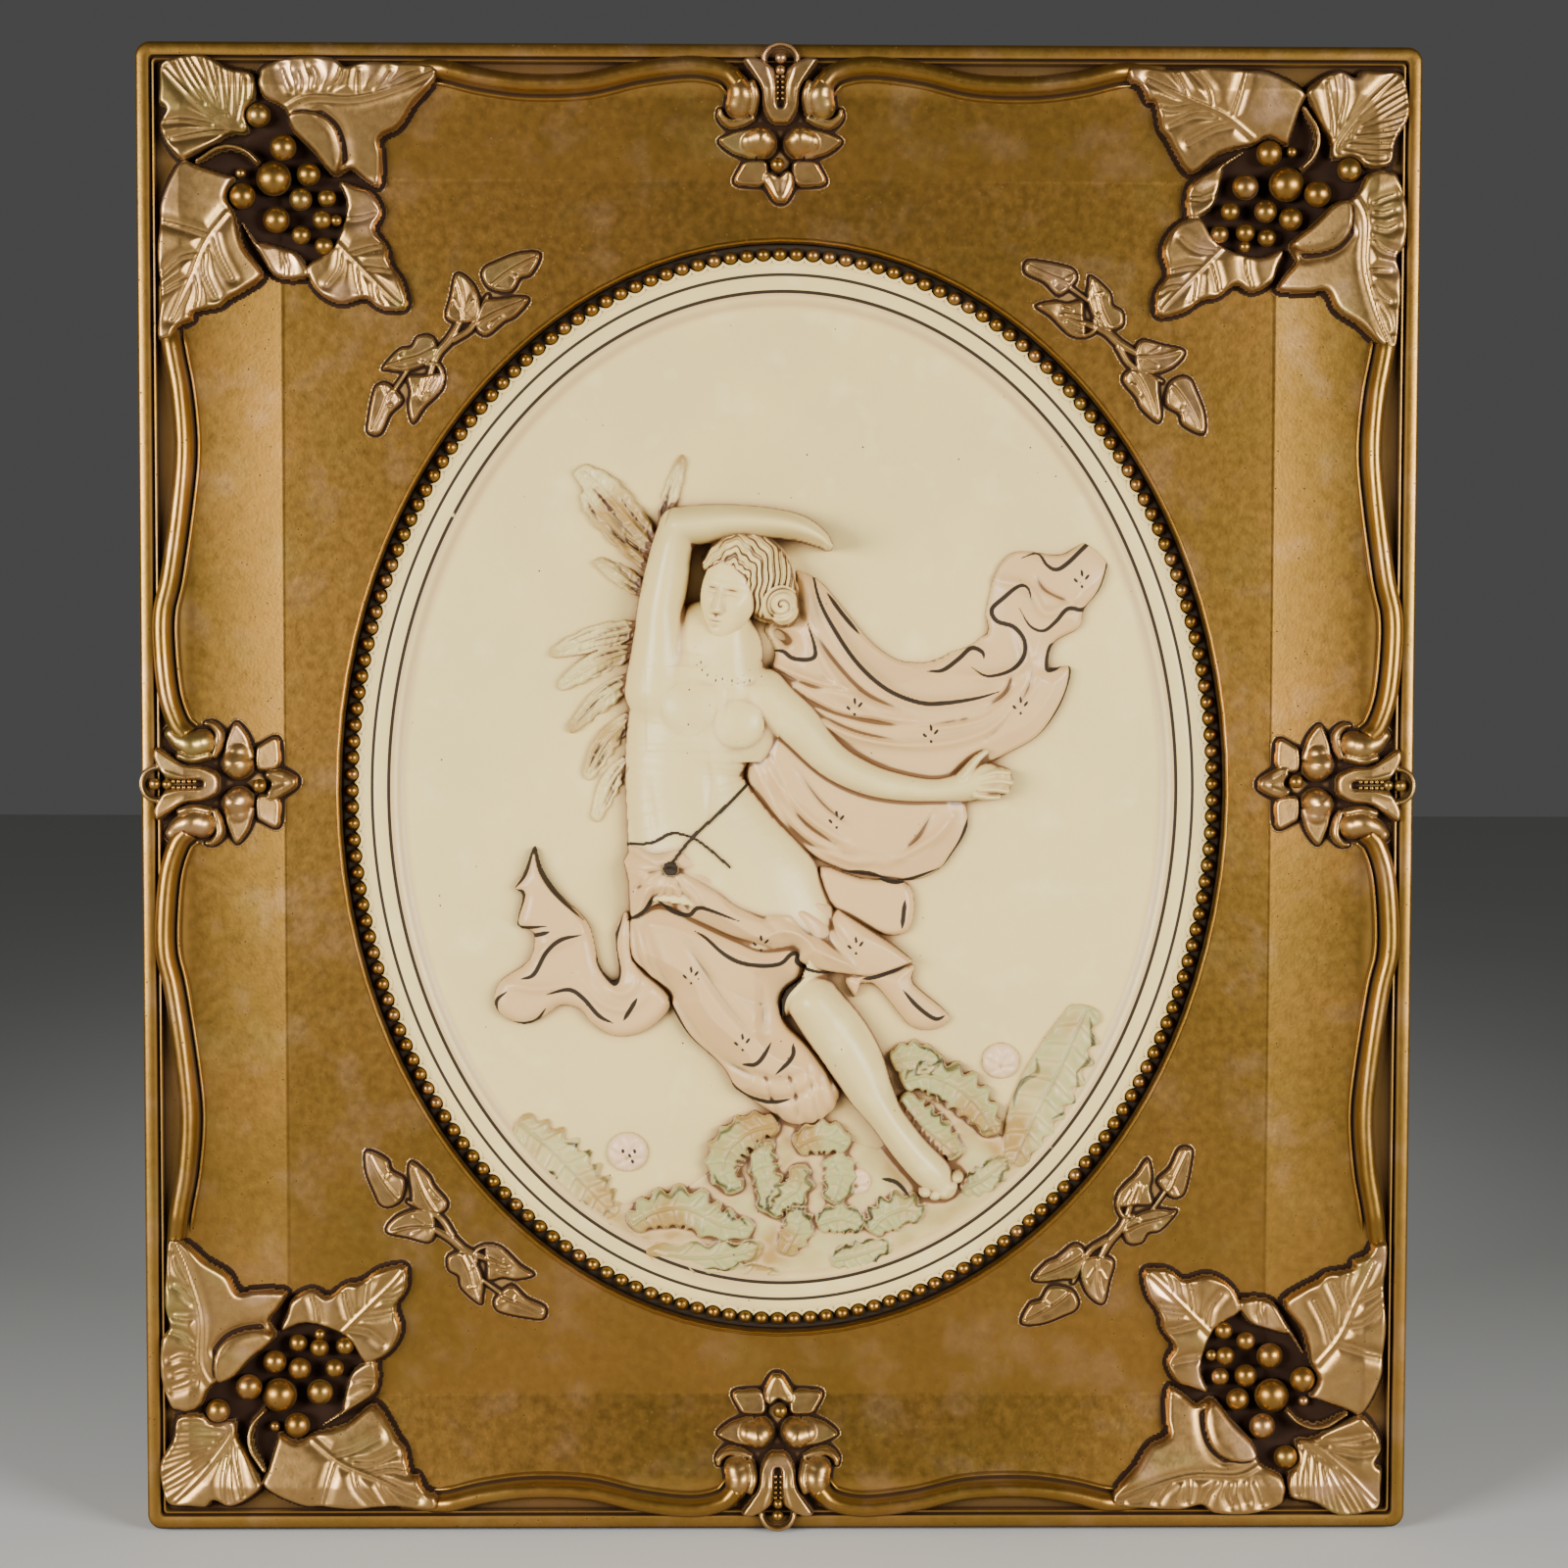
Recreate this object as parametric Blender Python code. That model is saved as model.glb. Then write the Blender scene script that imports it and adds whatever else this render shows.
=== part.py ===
"""Relief plaque: a gilt moulded frame with an oval relief of a veiled dancer set into it from behind.

Metres, +Z up. The front faces -Y and the back lies on the plane y = 0, with the origin at its middle.
A height here is a distance from the back to the front. Run with blender --background --python part.py.
"""

import bmesh
import bpy
import numpy as np

MM = 0.001

# The frame's outside
FRAME_WIDTH = 0.428
FRAME_HEIGHT = 0.500
CORNER_RADIUS = 0.0050
EDGE_ROUNDING = 0.0015

# The frame's section, from the outside in
RIM_LEVEL = 0.036
RIM_WIDTH = 0.0085
GROOVE_WIDTH = 0.0012
GROOVE_DEPTH = 0.0022
RECESS_LEVEL = 0.0335
BAND_START = 0.0150
BAND_HOLLOW = 1.4
BAND_STEPS = (0.5, 0.2, 0.0)
INNER_RADIUS = 0.0015
CREASE_RADIUS = 0.0080
CREASE_FROM_SIDE = 0.0465
CREASE_FROM_END = 0.0432
CREASE_SHARPNESS = 7.0
PANEL_LEVEL = 0.0235
ROD_WIDTH = 0.0076
ROD_TOP = 0.0385

# The oval: the bead ring's centre line, and the rings inside and outside it
OVAL_SHIFT = 0.0015
OVAL_RISE = 0.0005
BEAD_RING_HALF_WIDTH = 0.1474
BEAD_RING_HALF_HEIGHT = 0.1826
BEAD_DIAMETER = 0.0042
BEAD_RISE = 0.0030
CHANNEL_DEPTH = 0.0012
SIGHT_MARGIN = 0.0036
BORDER_WIDTH = 0.0145
BORDER_LEVEL = 0.0175
BORDER_SLOPE = 0.0030
GROUND_LEVEL = 0.0150
FLANGE_THICKNESS = 0.0060
FLANGE_MARGIN = 0.0060
FIT_CLEARANCE = 0.0003

# The carving
CORNER_REACH = 0.0995
ROSETTE_LENGTH = 0.0510
SPRAY_LENGTH = 0.0850
FIGURE_HEIGHT = 0.2380
SIDE_RISE = 0.0037
FIGURE_RISE = 0.0018
SPRAY_RISE = 0.0024
SPRAY_EDGE = 0.0022
LEAF_RISE = 0.0052
LEAF_EDGE = 0.0045
FOLD_RISE = 1.55 * LEAF_RISE
FOLD_EDGE = 0.0060
BED_RISE = 0.3 * LEAF_RISE
BED_EDGE = 0.0010
RIB_WIDTH = 0.0011
RIB_RISE = 0.0013
BERRY_FOOT_SHARE = 0.15
TONGUE_RISE = 5.2 * MM
TONGUE_EDGE = 0.0035
TONGUE_GROOVE_WIDTH = 0.0022
TONGUE_GROOVE_DEPTH = 0.0016

# The figure: how softly its limbs run together, and how its cloth lies and is folded
FLESH_BLEND = 0.0016
BREAST_BLEND = 0.0014
BREAST_BASE = 0.0060
TOE_BLEND = 0.0008
FINGER_GROOVE_WIDTH = 0.0008
FINGER_GROOVE_DEPTH = 0.0012
HEAD_BLEND = 0.0012
HEAD_HOLLOW_WIDTH = 0.0014
HEAD_HOLLOW_DEPTH = 0.0060
HEM_WIDTH = 0.0012
THIGH_BLEND = 0.0020
UNDERSKIRT_HEM = 0.0040
UNDERSKIRT_SLOPE = 0.9
UNDERSKIRT_FOLD_WIDTH = 0.0024
UNDERSKIRT_FOLD_DEPTH = 0.0022
WRAP_OVER_THIGH = 0.0012
WRAP_OVER_BODY = 0.0010
WRAP_HEM = 0.0065
WRAP_SLOPE = 1.1
WRAP_FOLD_WIDTH = 0.0022
WRAP_FOLD_DEPTH = 0.0018
FLAP_HEM = 0.0030
FLAP_SLOPE = 0.6
VEIL_BLEND = 0.0030
VEIL_HEM = 0.0022
VEIL_SLOPE = 0.5
VEIL_TAIL_RISE = 0.0042
VEIL_TAIL_EDGE = 0.0040
VEIL_FOLD_WIDTH = 0.0026
VEIL_FOLD_RISE = 0.0022
SCARF_RISE = 0.0050
SCARF_EDGE = 0.0060
SCARF_FOLD_WIDTH = 0.0022
SCARF_FOLD_RISE = 0.0020
MOUND_RISE = 0.0016
MOUND_EDGE = 0.0100

# The mesh: the grids that are carved, and the triangles left when they are thinned
FRAME_PITCH = 0.0019
RELIEF_PITCH = 0.0014
ORNAMENT_TRIANGLES = 2050
FIGURE_TRIANGLES = 2450
OVAL_SEGMENTS = 64
ROD_SIDES = 6
CORNER_SIDES = 4
SPARE = 0.0040
ROOT_DEPTH = 0.0030
STEEP = 3.0
OUTLINE_REACH = 0.0060
FAR_BELOW = -0.050


def through(points, spans=5, closed=False):
    """A smooth curve through rows of x, z and any further values."""
    p = np.asarray(points, float)
    if closed:
        p = np.vstack([p[-1:], p, p[:2]])
    else:
        p = np.vstack([2 * p[0] - p[1], p, 2 * p[-1] - p[-2]])
    t = np.linspace(0, 1, spans, endpoint=False)[:, None]
    runs = [
        0.5 * (2 * b + (c - a) * t + (2 * a - 5 * b + 4 * c - d) * t**2 + (3 * b - a - 3 * c + d) * t**3)
        for a, b, c, d in zip(p, p[1:], p[2:], p[3:])
    ]
    return np.vstack([*runs, p[-2][None]])


def smooth_max(a, b, blend):
    return 0.5 * (a + b + np.sqrt((a - b) ** 2 + blend**2))


class Relief:
    """Heights on a square grid, seen from the front, and the tools that carve them."""

    def __init__(self, width, height, pitch, middle=0.0):
        self.x = middle + np.linspace(-width / 2, width / 2, round(width / pitch) + 1)
        self.z = np.linspace(-height / 2, height / 2, round(height / pitch) + 1)

    def blank(self):
        return np.full((len(self.z), len(self.x)), FAR_BELOW)

    def near(self, path, reach):
        """For the grid around a path: where it is, how far each point is from the path, and how far along."""
        low = path[:, :2].min(axis=0) - reach
        high = path[:, :2].max(axis=0) + reach
        columns = slice(*np.searchsorted(self.x, (low[0], high[0])))
        rows = slice(*np.searchsorted(self.z, (low[1], high[1])))
        x, z = np.meshgrid(self.x[columns], self.z[rows])
        distance = np.full(x.shape, np.inf)
        place = np.zeros(x.shape)
        for i, (a, b) in enumerate(zip(path[:, :2], path[1:, :2])):
            run = b - a
            length = max(run @ run, 1e-14)
            t = np.clip(((x - a[0]) * run[0] + (z - a[1]) * run[1]) / length, 0, 1)
            d = np.hypot(x - a[0] - t * run[0], z - a[1] - t * run[1])
            nearer = d < distance
            distance[nearer] = d[nearer]
            place[nearer] = i + t[nearer]
        return (rows, columns), x, z, distance, place

    def limb(self, heights, points, blend=0.0, base=0.0):
        """A round body along a path whose rows hold x, z, radius and height above the ground."""
        path = through(points)
        spot, _, _, distance, place = self.near(path, 1.6 * path[:, 2].max())
        steps = np.arange(len(path))
        radius = np.interp(place, steps, path[:, 2])
        top = np.interp(place, steps, path[:, 3]) - base
        share = np.minimum(distance / radius, 1)
        body = base + top * np.sqrt(1 - share**2) - STEEP * np.maximum(distance - radius, 0)
        heights[spot] = smooth_max(heights[spot], body, blend)

    def inner_distance(self, outline, spans=5):
        """How far inside a closed outline each point of the grid around it lies."""
        path = through(outline, spans, closed=True)
        spot, x, z, distance, _ = self.near(path, OUTLINE_REACH)
        inside = np.zeros(x.shape, bool)
        for (ax, az), (bx, bz) in zip(path[:, :2], path[1:, :2]):
            if az != bz:
                inside ^= ((az > z) != (bz > z)) & (x < ax + (z - az) * (bx - ax) / (bz - az))
        return spot, np.where(inside, distance, -distance)

    def pad(self, heights, outline, rise, edge, spans=3):
        """A raised shape of even height with a rounded edge."""
        spot, depth = self.inner_distance(outline, spans)
        share = np.clip(depth / edge, 0, 1)
        body = rise * np.sqrt(1 - (1 - share) ** 2) + STEEP * np.minimum(depth, 0)
        heights[spot] = np.maximum(heights[spot], body)

    def cloth(self, heights, body, outline, edge_rise, slope):
        """Cloth that lies over a body inside an outline and drops to the ground along its hem."""
        spot, depth = self.inner_distance(outline)
        hem = np.where(depth > 0, edge_rise * np.minimum(depth / HEM_WIDTH, 1) + slope * depth, STEEP * depth)
        heights[spot] = np.maximum(heights[spot], np.minimum(body[spot], hem))

    def line(self, heights, points, width, rise):
        """A raised or sunk line that fades at both ends, only where there is something to carve."""
        path = through(points)
        spot, _, _, distance, place = self.near(path, 3 * width)
        fade = np.sin(np.pi * np.clip(place / (len(path) - 1), 0.03, 0.97)) ** 0.5
        carved = heights[spot] + rise * fade * np.exp(-((distance / width) ** 2))
        heights[spot] = np.where(heights[spot] > 0, carved, heights[spot])


def on_plan(points, origin, unit, at=(0.0, 0.0), turns=0):
    """Points drawn on a sheet, y down, set on the plaque and turned clockwise by quarter turns.

    A third value is a radius on the sheet, and a fourth a height in millimetres.
    """
    p = np.array(points, float)
    x = (p[:, 0] - origin[0]) * unit
    z = (origin[1] - p[:, 1]) * unit
    for _ in range(turns):
        x, z = z, -x
    p[:, 0] = x + at[0]
    p[:, 1] = z + at[1]
    if p.shape[1] > 2:
        p[:, 2] *= unit
    if p.shape[1] > 3:
        p[:, 3] *= MM
    return p


# Corner cluster, drawn at the upper left corner of the frame on a sheet of its own

CORNER_SHEET_ORIGIN = (-64, -27)
CORNER_SHEET_REACH = 1545

CORNER_LEAVES = [
    [(70, 100), (130, 60), (290, 42), (420, 110), (545, 140), (558, 255), (505, 330), (510, 430),
     (410, 450), (330, 510), (240, 560), (170, 585), (90, 490), (62, 400), (95, 330), (60, 290), (65, 190)],
    [(575, 150), (600, 100), (760, 50), (950, 55), (1020, 98), (1130, 75), (1290, 80), (1500, 105),
     (1450, 210), (1370, 290), (1290, 400), (1190, 455), (1195, 540), (1175, 690), (1100, 665),
     (1025, 610), (940, 645), (860, 540), (740, 420), (700, 320), (600, 265), (570, 200)],
    [(185, 580), (260, 605), (400, 645), (440, 665), (400, 760), (440, 850), (480, 1010), (575, 1150),
     (480, 1240), (400, 1290), (350, 1330), (235, 1360), (225, 1400), (150, 1440), (120, 1500),
     (45, 1490), (60, 1270), (45, 1060), (60, 900), (65, 800), (120, 660)],
    [(960, 665), (1060, 690), (1135, 720), (1185, 820), (1150, 910), (1210, 1000), (1230, 1090),
     (1290, 1180), (1310, 1320), (1180, 1325), (1090, 1270), (970, 1300), (860, 1250), (800, 1165),
     (800, 1090), (930, 1000), (1000, 800)],
    [(455, 870), (545, 985), (650, 1000), (760, 1045), (810, 1160), (640, 1165), (560, 1060)],
]
CORNER_FOLD = [(720, 350), (800, 325), (900, 345), (975, 420), (1000, 560), (940, 645), (840, 530), (740, 430)]
CORNER_MIDRIBS = [
    [(540, 462), (430, 415), (330, 345), (240, 270), (160, 190), (100, 125)],
    [(700, 318), (830, 262), (1080, 262), (1330, 195), (1490, 125)],
    [(400, 845), (290, 1000), (210, 1200), (120, 1400)],
    [(940, 970), (1070, 1100), (1230, 1260), (1300, 1315)],
]
CORNER_BERRIES = [
    (565, 345, 64, 6.0), (687, 505, 70, 8.5), (810, 635, 62, 8.0), (632, 660, 92, 10.0), (475, 755, 68, 7.5),
    (770, 765, 60, 8.5), (903, 755, 48, 7.0), (643, 870, 70, 8.5), (878, 868, 50, 7.5), (770, 948, 50, 7.5),
    (885, 1000, 48, 6.5), (465, 635, 28, 4.5), (950, 870, 30, 6.0),
]
CORNER_BED = [(540, 280), (680, 300), (860, 560), (1000, 700), (990, 880), (860, 1120), (640, 1100),
              (440, 880), (400, 740), (260, 570), (480, 470)]


def carve_corner(relief, lift, at, turns):
    unit = CORNER_REACH / CORNER_SHEET_REACH

    def laid(points):
        return on_plan(points, CORNER_SHEET_ORIGIN, unit, at, turns)

    relief.pad(lift, laid(CORNER_BED), BED_RISE, BED_EDGE)
    for leaf in CORNER_LEAVES:
        relief.pad(lift, laid(leaf), LEAF_RISE, LEAF_EDGE)
    relief.pad(lift, laid(CORNER_FOLD), FOLD_RISE, FOLD_EDGE)
    for rib in CORNER_MIDRIBS:
        relief.line(lift, laid(rib), RIB_WIDTH, RIB_RISE)
    for x, y, radius, rise in CORNER_BERRIES:
        berry = [(x, y, radius, rise), (x + 1, y, radius, rise)]
        relief.limb(lift, laid(berry), base=BERRY_FOOT_SHARE * rise * MM)


# Rosette, drawn at the middle of the frame's top edge with its axis upright

ROSETTE_SHEET_ORIGIN = (745, 82)
ROSETTE_SHEET_LENGTH = 1225

ROSETTE_CAP = [(745, 82, 55, 3.0), (745, 150, 110, 6.0), (745, 240, 105, 5.5)]
ROSETTE_TONGUE = [(445, 215), (520, 185), (610, 215), (680, 260), (745, 260), (810, 260), (880, 215), (970, 185),
                  (1045, 215), (970, 330), (905, 440), (885, 590), (830, 690), (745, 715), (660, 690),
                  (605, 590), (585, 440), (520, 330)]
ROSETTE_HALVES = [
    [(330, 350, 70, 3.0), (420, 420, 100, 4.8), (435, 520, 130, 5.6), (400, 590, 110, 4.6)],
    [(250, 640, 30, 2.0), (330, 680, 50, 2.5), (440, 690, 45, 2.2)],
    [(560, 850, 150, 6.0), (590, 850, 140, 5.8)],
    [(235, 830, 20, 1.2), (350, 840, 75, 3.0), (450, 850, 110, 4.0)],
    [(420, 1150, 25, 1.4), (500, 1090, 85, 2.8), (620, 1040, 60, 2.6)],
]
ROSETTE_PETAL = [(745, 1305, 20, 1.6), (735, 1180, 115, 3.6), (735, 1080, 80, 3.0)]
ROSETTE_BEAD = [(740, 1010, 62, 4.6), (742, 1010, 62, 4.6)]
ROSETTE_CHANNEL = [(745, 300), (745, 430), (745, 560), (745, 640)]


def carve_rosette(relief, lift, at, turns):
    unit = ROSETTE_LENGTH / ROSETTE_SHEET_LENGTH
    middle = ROSETTE_SHEET_ORIGIN[0]

    def laid(points):
        return on_plan(points, ROSETTE_SHEET_ORIGIN, unit, at, turns)

    for side in (1, -1):
        for part in ROSETTE_HALVES:
            mirrored = [(middle + side * (x - middle), y, radius, rise) for x, y, radius, rise in part]
            relief.limb(lift, laid(mirrored))
    relief.limb(lift, laid(ROSETTE_PETAL))
    relief.limb(lift, laid(ROSETTE_CAP))
    relief.pad(lift, laid(ROSETTE_TONGUE), TONGUE_RISE, TONGUE_EDGE)
    relief.line(lift, laid(ROSETTE_CHANNEL), TONGUE_GROOVE_WIDTH, -TONGUE_GROOVE_DEPTH)
    relief.limb(lift, laid(ROSETTE_BEAD))


# Leaf spray, drawn beside the oval's upper left, on a sheet of its own

SPRAY_SHEET_MIDDLE = (818, 755)
SPRAY_SHEET_LENGTH = 1850
SPRAY_ACROSS = 0.1115
SPRAY_UP = 0.1515

SPRAY_LEAVES = [
    [(1030, 260), (1050, 190), (1130, 150), (1300, 85), (1455, 90), (1390, 240), (1310, 270), (1240, 370),
     (1090, 350)],
    [(835, 245), (900, 250), (980, 340), (1020, 480), (990, 580), (850, 600), (765, 550), (800, 400)],
    [(1040, 440), (1150, 420), (1320, 400), (1370, 435), (1270, 550), (1190, 590), (1060, 690), (980, 620)],
    [(300, 925), (420, 790), (510, 770), (560, 695), (670, 700), (690, 850), (500, 950), (350, 945)],
    [(260, 1050), (225, 1130), (195, 1290), (190, 1400), (280, 1410), (350, 1270), (445, 1160), (340, 1040)],
    [(480, 990), (590, 980), (740, 970), (715, 1100), (600, 1220), (520, 1330), (485, 1200), (500, 1100)],
]
SPRAY_STEMS = [
    [(860, 600, 26, 1.9), (790, 720, 34, 2.1), (700, 830, 30, 2.0), (620, 1050, 20, 1.7)],
    [(1070, 400, 16, 1.4), (960, 620, 26, 1.9), (820, 720, 26, 2.0)],
    [(690, 790, 20, 2.0), (560, 850, 18, 1.9), (430, 1020, 18, 1.5), (320, 1180, 20, 2.4)],
]


def carve_spray(relief, lift, at, turns):
    unit = SPRAY_LENGTH / SPRAY_SHEET_LENGTH

    def laid(points):
        return on_plan(points, SPRAY_SHEET_MIDDLE, unit, at, turns)

    for leaf in SPRAY_LEAVES:
        relief.pad(lift, laid(leaf), SPRAY_RISE, SPRAY_EDGE)
    for stem in SPRAY_STEMS:
        relief.limb(lift, laid(stem))


# Rod along half of a side: the share of the way from the corner to the middle, and the inset from the edge
ROD_ON_END = [(0.40, 0.0078), (0.47, 0.0086), (0.535, 0.0117), (0.61, 0.0135), (0.70, 0.0128), (0.78, 0.0090),
              (0.86, 0.0070), (0.912, 0.0090), (0.935, 0.0135)]
ROD_ON_SIDE = [(0.33, 0.0080), (0.39, 0.0103), (0.43, 0.0119), (0.48, 0.0140), (0.55, 0.0152), (0.62, 0.0137),
               (0.72, 0.0102), (0.77, 0.0075), (0.82, 0.0074), (0.88, 0.0089), (0.92, 0.0121), (0.935, 0.0153)]


def rod_lines():
    """The middle line of each half rod, as x and z, for the four sides of the frame."""
    for across in (1, -1):
        for up in (1, -1):
            yield [(across * FRAME_WIDTH / 2 * (1 - share), up * (FRAME_HEIGHT / 2 - inset))
                   for share, inset in ROD_ON_END]
            yield [(across * (FRAME_WIDTH / 2 - inset), SIDE_RISE + up * FRAME_HEIGHT / 2 * (1 - share))
                   for share, inset in ROD_ON_SIDE]


def bed_heights(x, z):
    """The plain field of the frame: the recess under the rods, the sloping band and the panel."""
    band_x = (np.abs(x) - FRAME_WIDTH / 2 + CREASE_FROM_SIDE) / (CREASE_FROM_SIDE - BAND_START)
    band_z = (np.abs(z) - FRAME_HEIGHT / 2 + CREASE_FROM_END) / (CREASE_FROM_END - BAND_START)
    band = np.maximum(band_x, 0) ** CREASE_SHARPNESS + np.maximum(band_z, 0) ** CREASE_SHARPNESS
    band = np.clip(band ** (1 / CREASE_SHARPNESS), 0, 1)
    return PANEL_LEVEL + (RECESS_LEVEL - PANEL_LEVEL) * (1 - (1 - band) ** BAND_HOLLOW)


def ornament_heights(relief):
    """Heights of the corner clusters, rosettes and sprays, and a level under the field between them."""
    across, up = FRAME_WIDTH / 2, FRAME_HEIGHT / 2
    corners = [(-across, up), (across, up), (across, -up), (-across, -up)]
    middles = [(0, up), (across, SIDE_RISE), (0, -up), (-across, SIDE_RISE)]
    lift = relief.blank()
    for turns in range(4):
        carve_corner(relief, lift, corners[turns], turns)
        carve_rosette(relief, lift, middles[turns], turns)
        side = np.sign(corners[turns])
        carve_spray(relief, lift, (side[0] * SPRAY_ACROSS + OVAL_SHIFT, side[1] * SPRAY_UP), turns)
    return bed_heights(*np.meshgrid(relief.x, relief.z)) + np.maximum(lift, -ROOT_DEPTH)


# The figure and its drapery, drawn on one sheet with the oval's middle at its origin

FIGURE_SHEET_ORIGIN = (799, 806)
FIGURE_SHEET_HEIGHT = 721

FLESH = [
    [(722, 668, 56, 12), (717, 705, 72, 14), (702, 755, 67, 13.5), (696, 800, 61, 12.5), (712, 855, 78, 13),
     (738, 915, 98, 14), (760, 960, 96, 14)],
    [(745, 640, 22, 12), (740, 690, 36, 13)],
    [(668, 705, 34, 14), (671, 654, 28, 14.5), (672, 624, 24.5, 15), (677, 595, 24, 15.5), (683, 562, 22, 16.5),
     (690, 537, 20, 18)],
    [(690, 536, 20, 18), (710, 535, 21, 19), (744, 532, 18.5, 20), (784, 533, 16, 20.5), (815, 538, 13.5, 20),
     (836, 548, 9.5, 18), (845, 556, 5, 16)],
    [(780, 712, 30, 13), (812, 738, 28, 13), (848, 776, 23, 12.5), (884, 796, 20, 12), (919, 805, 17.5, 11.5),
     (954, 808, 15, 10.5), (980, 805, 17, 10), (1005, 798, 20, 9.5), (1022, 798, 15, 8.5)],
    [(984, 793, 6, 9.5), (998, 777, 5.5, 8.5), (1009, 768, 4, 7)],
    [(832, 1030, 28, 14), (858, 1066, 31, 14.5), (877, 1096, 29, 14), (892, 1125, 23.5, 13), (909, 1151, 19, 12),
     (931, 1181, 19.5, 11), (955, 1208, 20, 10), (968, 1223, 15, 8)],
]
BREASTS = [(697, 724, 26, 16.6), (757, 742, 24, 16.2)]
HEAD = [
    [(758, 588, 40, 18.5), (750, 606, 38, 18.5), (741, 626, 27, 16.5), (735, 642, 13, 14.5)],
    [(786, 596, 28, 16), (800, 622, 18, 14.5)],
    [(770, 566, 26, 19), (748, 570, 24, 19)],
]
HEAD_HOLLOW = [(706, 575), (708, 610), (706, 650)]
FINGERS = [[(1004, y), (1034, y - 2)] for y in (792, 800, 808)]
TOES = [(948, 1228, 7, 8), (958, 1231, 7, 8), (967, 1229, 7, 8), (975, 1222, 7, 8), (981, 1213, 7, 8)]

THIGHS = [
    [(690, 905, 60, 14), (750, 948, 56, 16), (806, 985, 44, 17), (846, 1006, 34, 16.5)],
    [(680, 950, 52, 11), (724, 1030, 56, 13.5), (780, 1082, 50, 13.5), (820, 1120, 40, 10)],
    [(880, 968, 44, 9), (915, 985, 34, 7), (950, 1030, 30, 6)],
]
SKIRT = [(632, 866), (660, 864), (686, 852), (706, 857), (744, 888), (763, 908), (801, 919), (838, 922), (889, 951),
         (931, 983), (931, 990), (898, 1002), (880, 1003), (837, 997), (815, 988), (809, 977), (794, 987),
         (761, 986), (720, 960), (700, 946), (686, 934), (668, 930), (658, 940), (641, 943), (638, 905)]
UNDERSKIRT = [(645, 930), (639, 977), (656, 1000), (680, 1020), (684, 1036), (702, 1066), (735, 1097), (745, 1113),
              (756, 1138), (790, 1160), (840, 1166), (872, 1150), (860, 1120), (834, 1080), (805, 1054),
              (799, 1036), (804, 1018), (822, 1000), (815, 960), (700, 925)]
FLAP = [(868, 1000), (933, 990), (936, 1010), (970, 1040), (971, 1055), (950, 1061), (920, 1056), (895, 1046),
        (872, 1024)]
VEIL = [(814, 566), (834, 566), (852, 600), (877, 640), (901, 664), (925, 675), (947, 671), (969, 656), (1010, 646),
        (1005, 610), (1014, 581), (1040, 561), (1083, 564), (1102, 556), (1130, 541), (1137, 562), (1129, 597),
        (1112, 620), (1106, 640), (1080, 656), (1076, 680), (1096, 679), (1097, 694), (1085, 725), (1062, 754),
        (1022, 777), (990, 800), (992, 845), (975, 876), (960, 893), (935, 903), (900, 900), (858, 892),
        (812, 866), (780, 830), (760, 795), (772, 720), (790, 668), (780, 640), (806, 610)]
VEIL_BODY = [
    [(800, 640, 60, 7), (850, 700, 62, 8), (920, 740, 66, 7.5), (1000, 740, 80, 6), (1060, 690, 70, 5),
     (1080, 610, 66, 5)],
    [(790, 760, 60, 7), (850, 840, 66, 7.5), (940, 850, 66, 6.5)],
]
VEIL_TAIL = [(838, 888), (880, 900), (925, 904), (936, 925), (930, 955), (905, 960), (872, 945), (845, 925)]
SCARF = [(541, 867), (548, 890), (566, 917), (594, 944), (602, 965), (607, 990), (616, 1004), (624, 1008), (629, 998),
         (625, 958), (636, 935), (646, 950), (645, 985), (662, 1003), (682, 1024), (680, 1040), (660, 1058),
         (640, 1066), (620, 1065), (600, 1052), (588, 1038), (568, 1034), (553, 1044), (530, 1054), (504, 1042),
         (499, 1024), (508, 1006), (536, 986), (540, 958), (523, 950), (529, 920), (520, 910), (531, 893)]

SKIRT_FOLDS = [
    [(682, 888), (722, 905), (762, 925), (800, 958)], [(682, 890), (735, 895), (800, 925), (845, 985)],
    [(760, 908), (830, 930), (880, 990)], [(682, 892), (700, 915), (704, 930)], [(680, 890), (668, 908), (656, 936)],
    [(675, 888), (655, 900), (644, 925)], [(700, 945), (740, 960), (775, 965), (800, 975)],
]
UNDERSKIRT_FOLDS = [
    [(655, 945), (668, 985), (690, 1030), (730, 1080)], [(700, 965), (728, 1010), (760, 1050), (782, 1062)],
    [(774, 990), (778, 1030), (779, 1060)], [(700, 1050), (730, 1085), (790, 1108), (826, 1100)],
    [(745, 1115), (770, 1130), (810, 1128), (836, 1110)], [(838, 1105), (842, 1135), (850, 1160)],
    [(822, 1125), (818, 1145), (826, 1162)],
]
VEIL_FOLDS = [
    [(828, 572), (836, 609), (853, 645), (877, 679), (930, 716), (998, 713), (1040, 690)],
    [(818, 580), (826, 640), (850, 690), (880, 715), (930, 733)],
    [(795, 680), (850, 705), (920, 738), (1000, 735), (1060, 690)],
    [(822, 728), (880, 755), (960, 760), (1020, 740), (1070, 690)],
    [(1020, 590), (1052, 600), (1070, 625), (1104, 610)], [(1040, 640), (1048, 675), (1020, 690), (980, 690)],
    [(768, 780), (800, 835), (860, 878), (900, 882)], [(785, 785), (815, 828), (870, 868)],
    [(975, 835), (950, 860), (905, 885)],
]
SCARF_FOLDS = [
    [(541, 872), (550, 905), (580, 935), (598, 960)], [(535, 985), (560, 970), (590, 958)],
    [(604, 962), (612, 1000), (630, 1020), (648, 1005), (640, 960)],
    [(590, 1000), (612, 1030), (640, 1035), (664, 1015)], [(512, 1010), (545, 1015), (580, 1010)],
]

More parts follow.
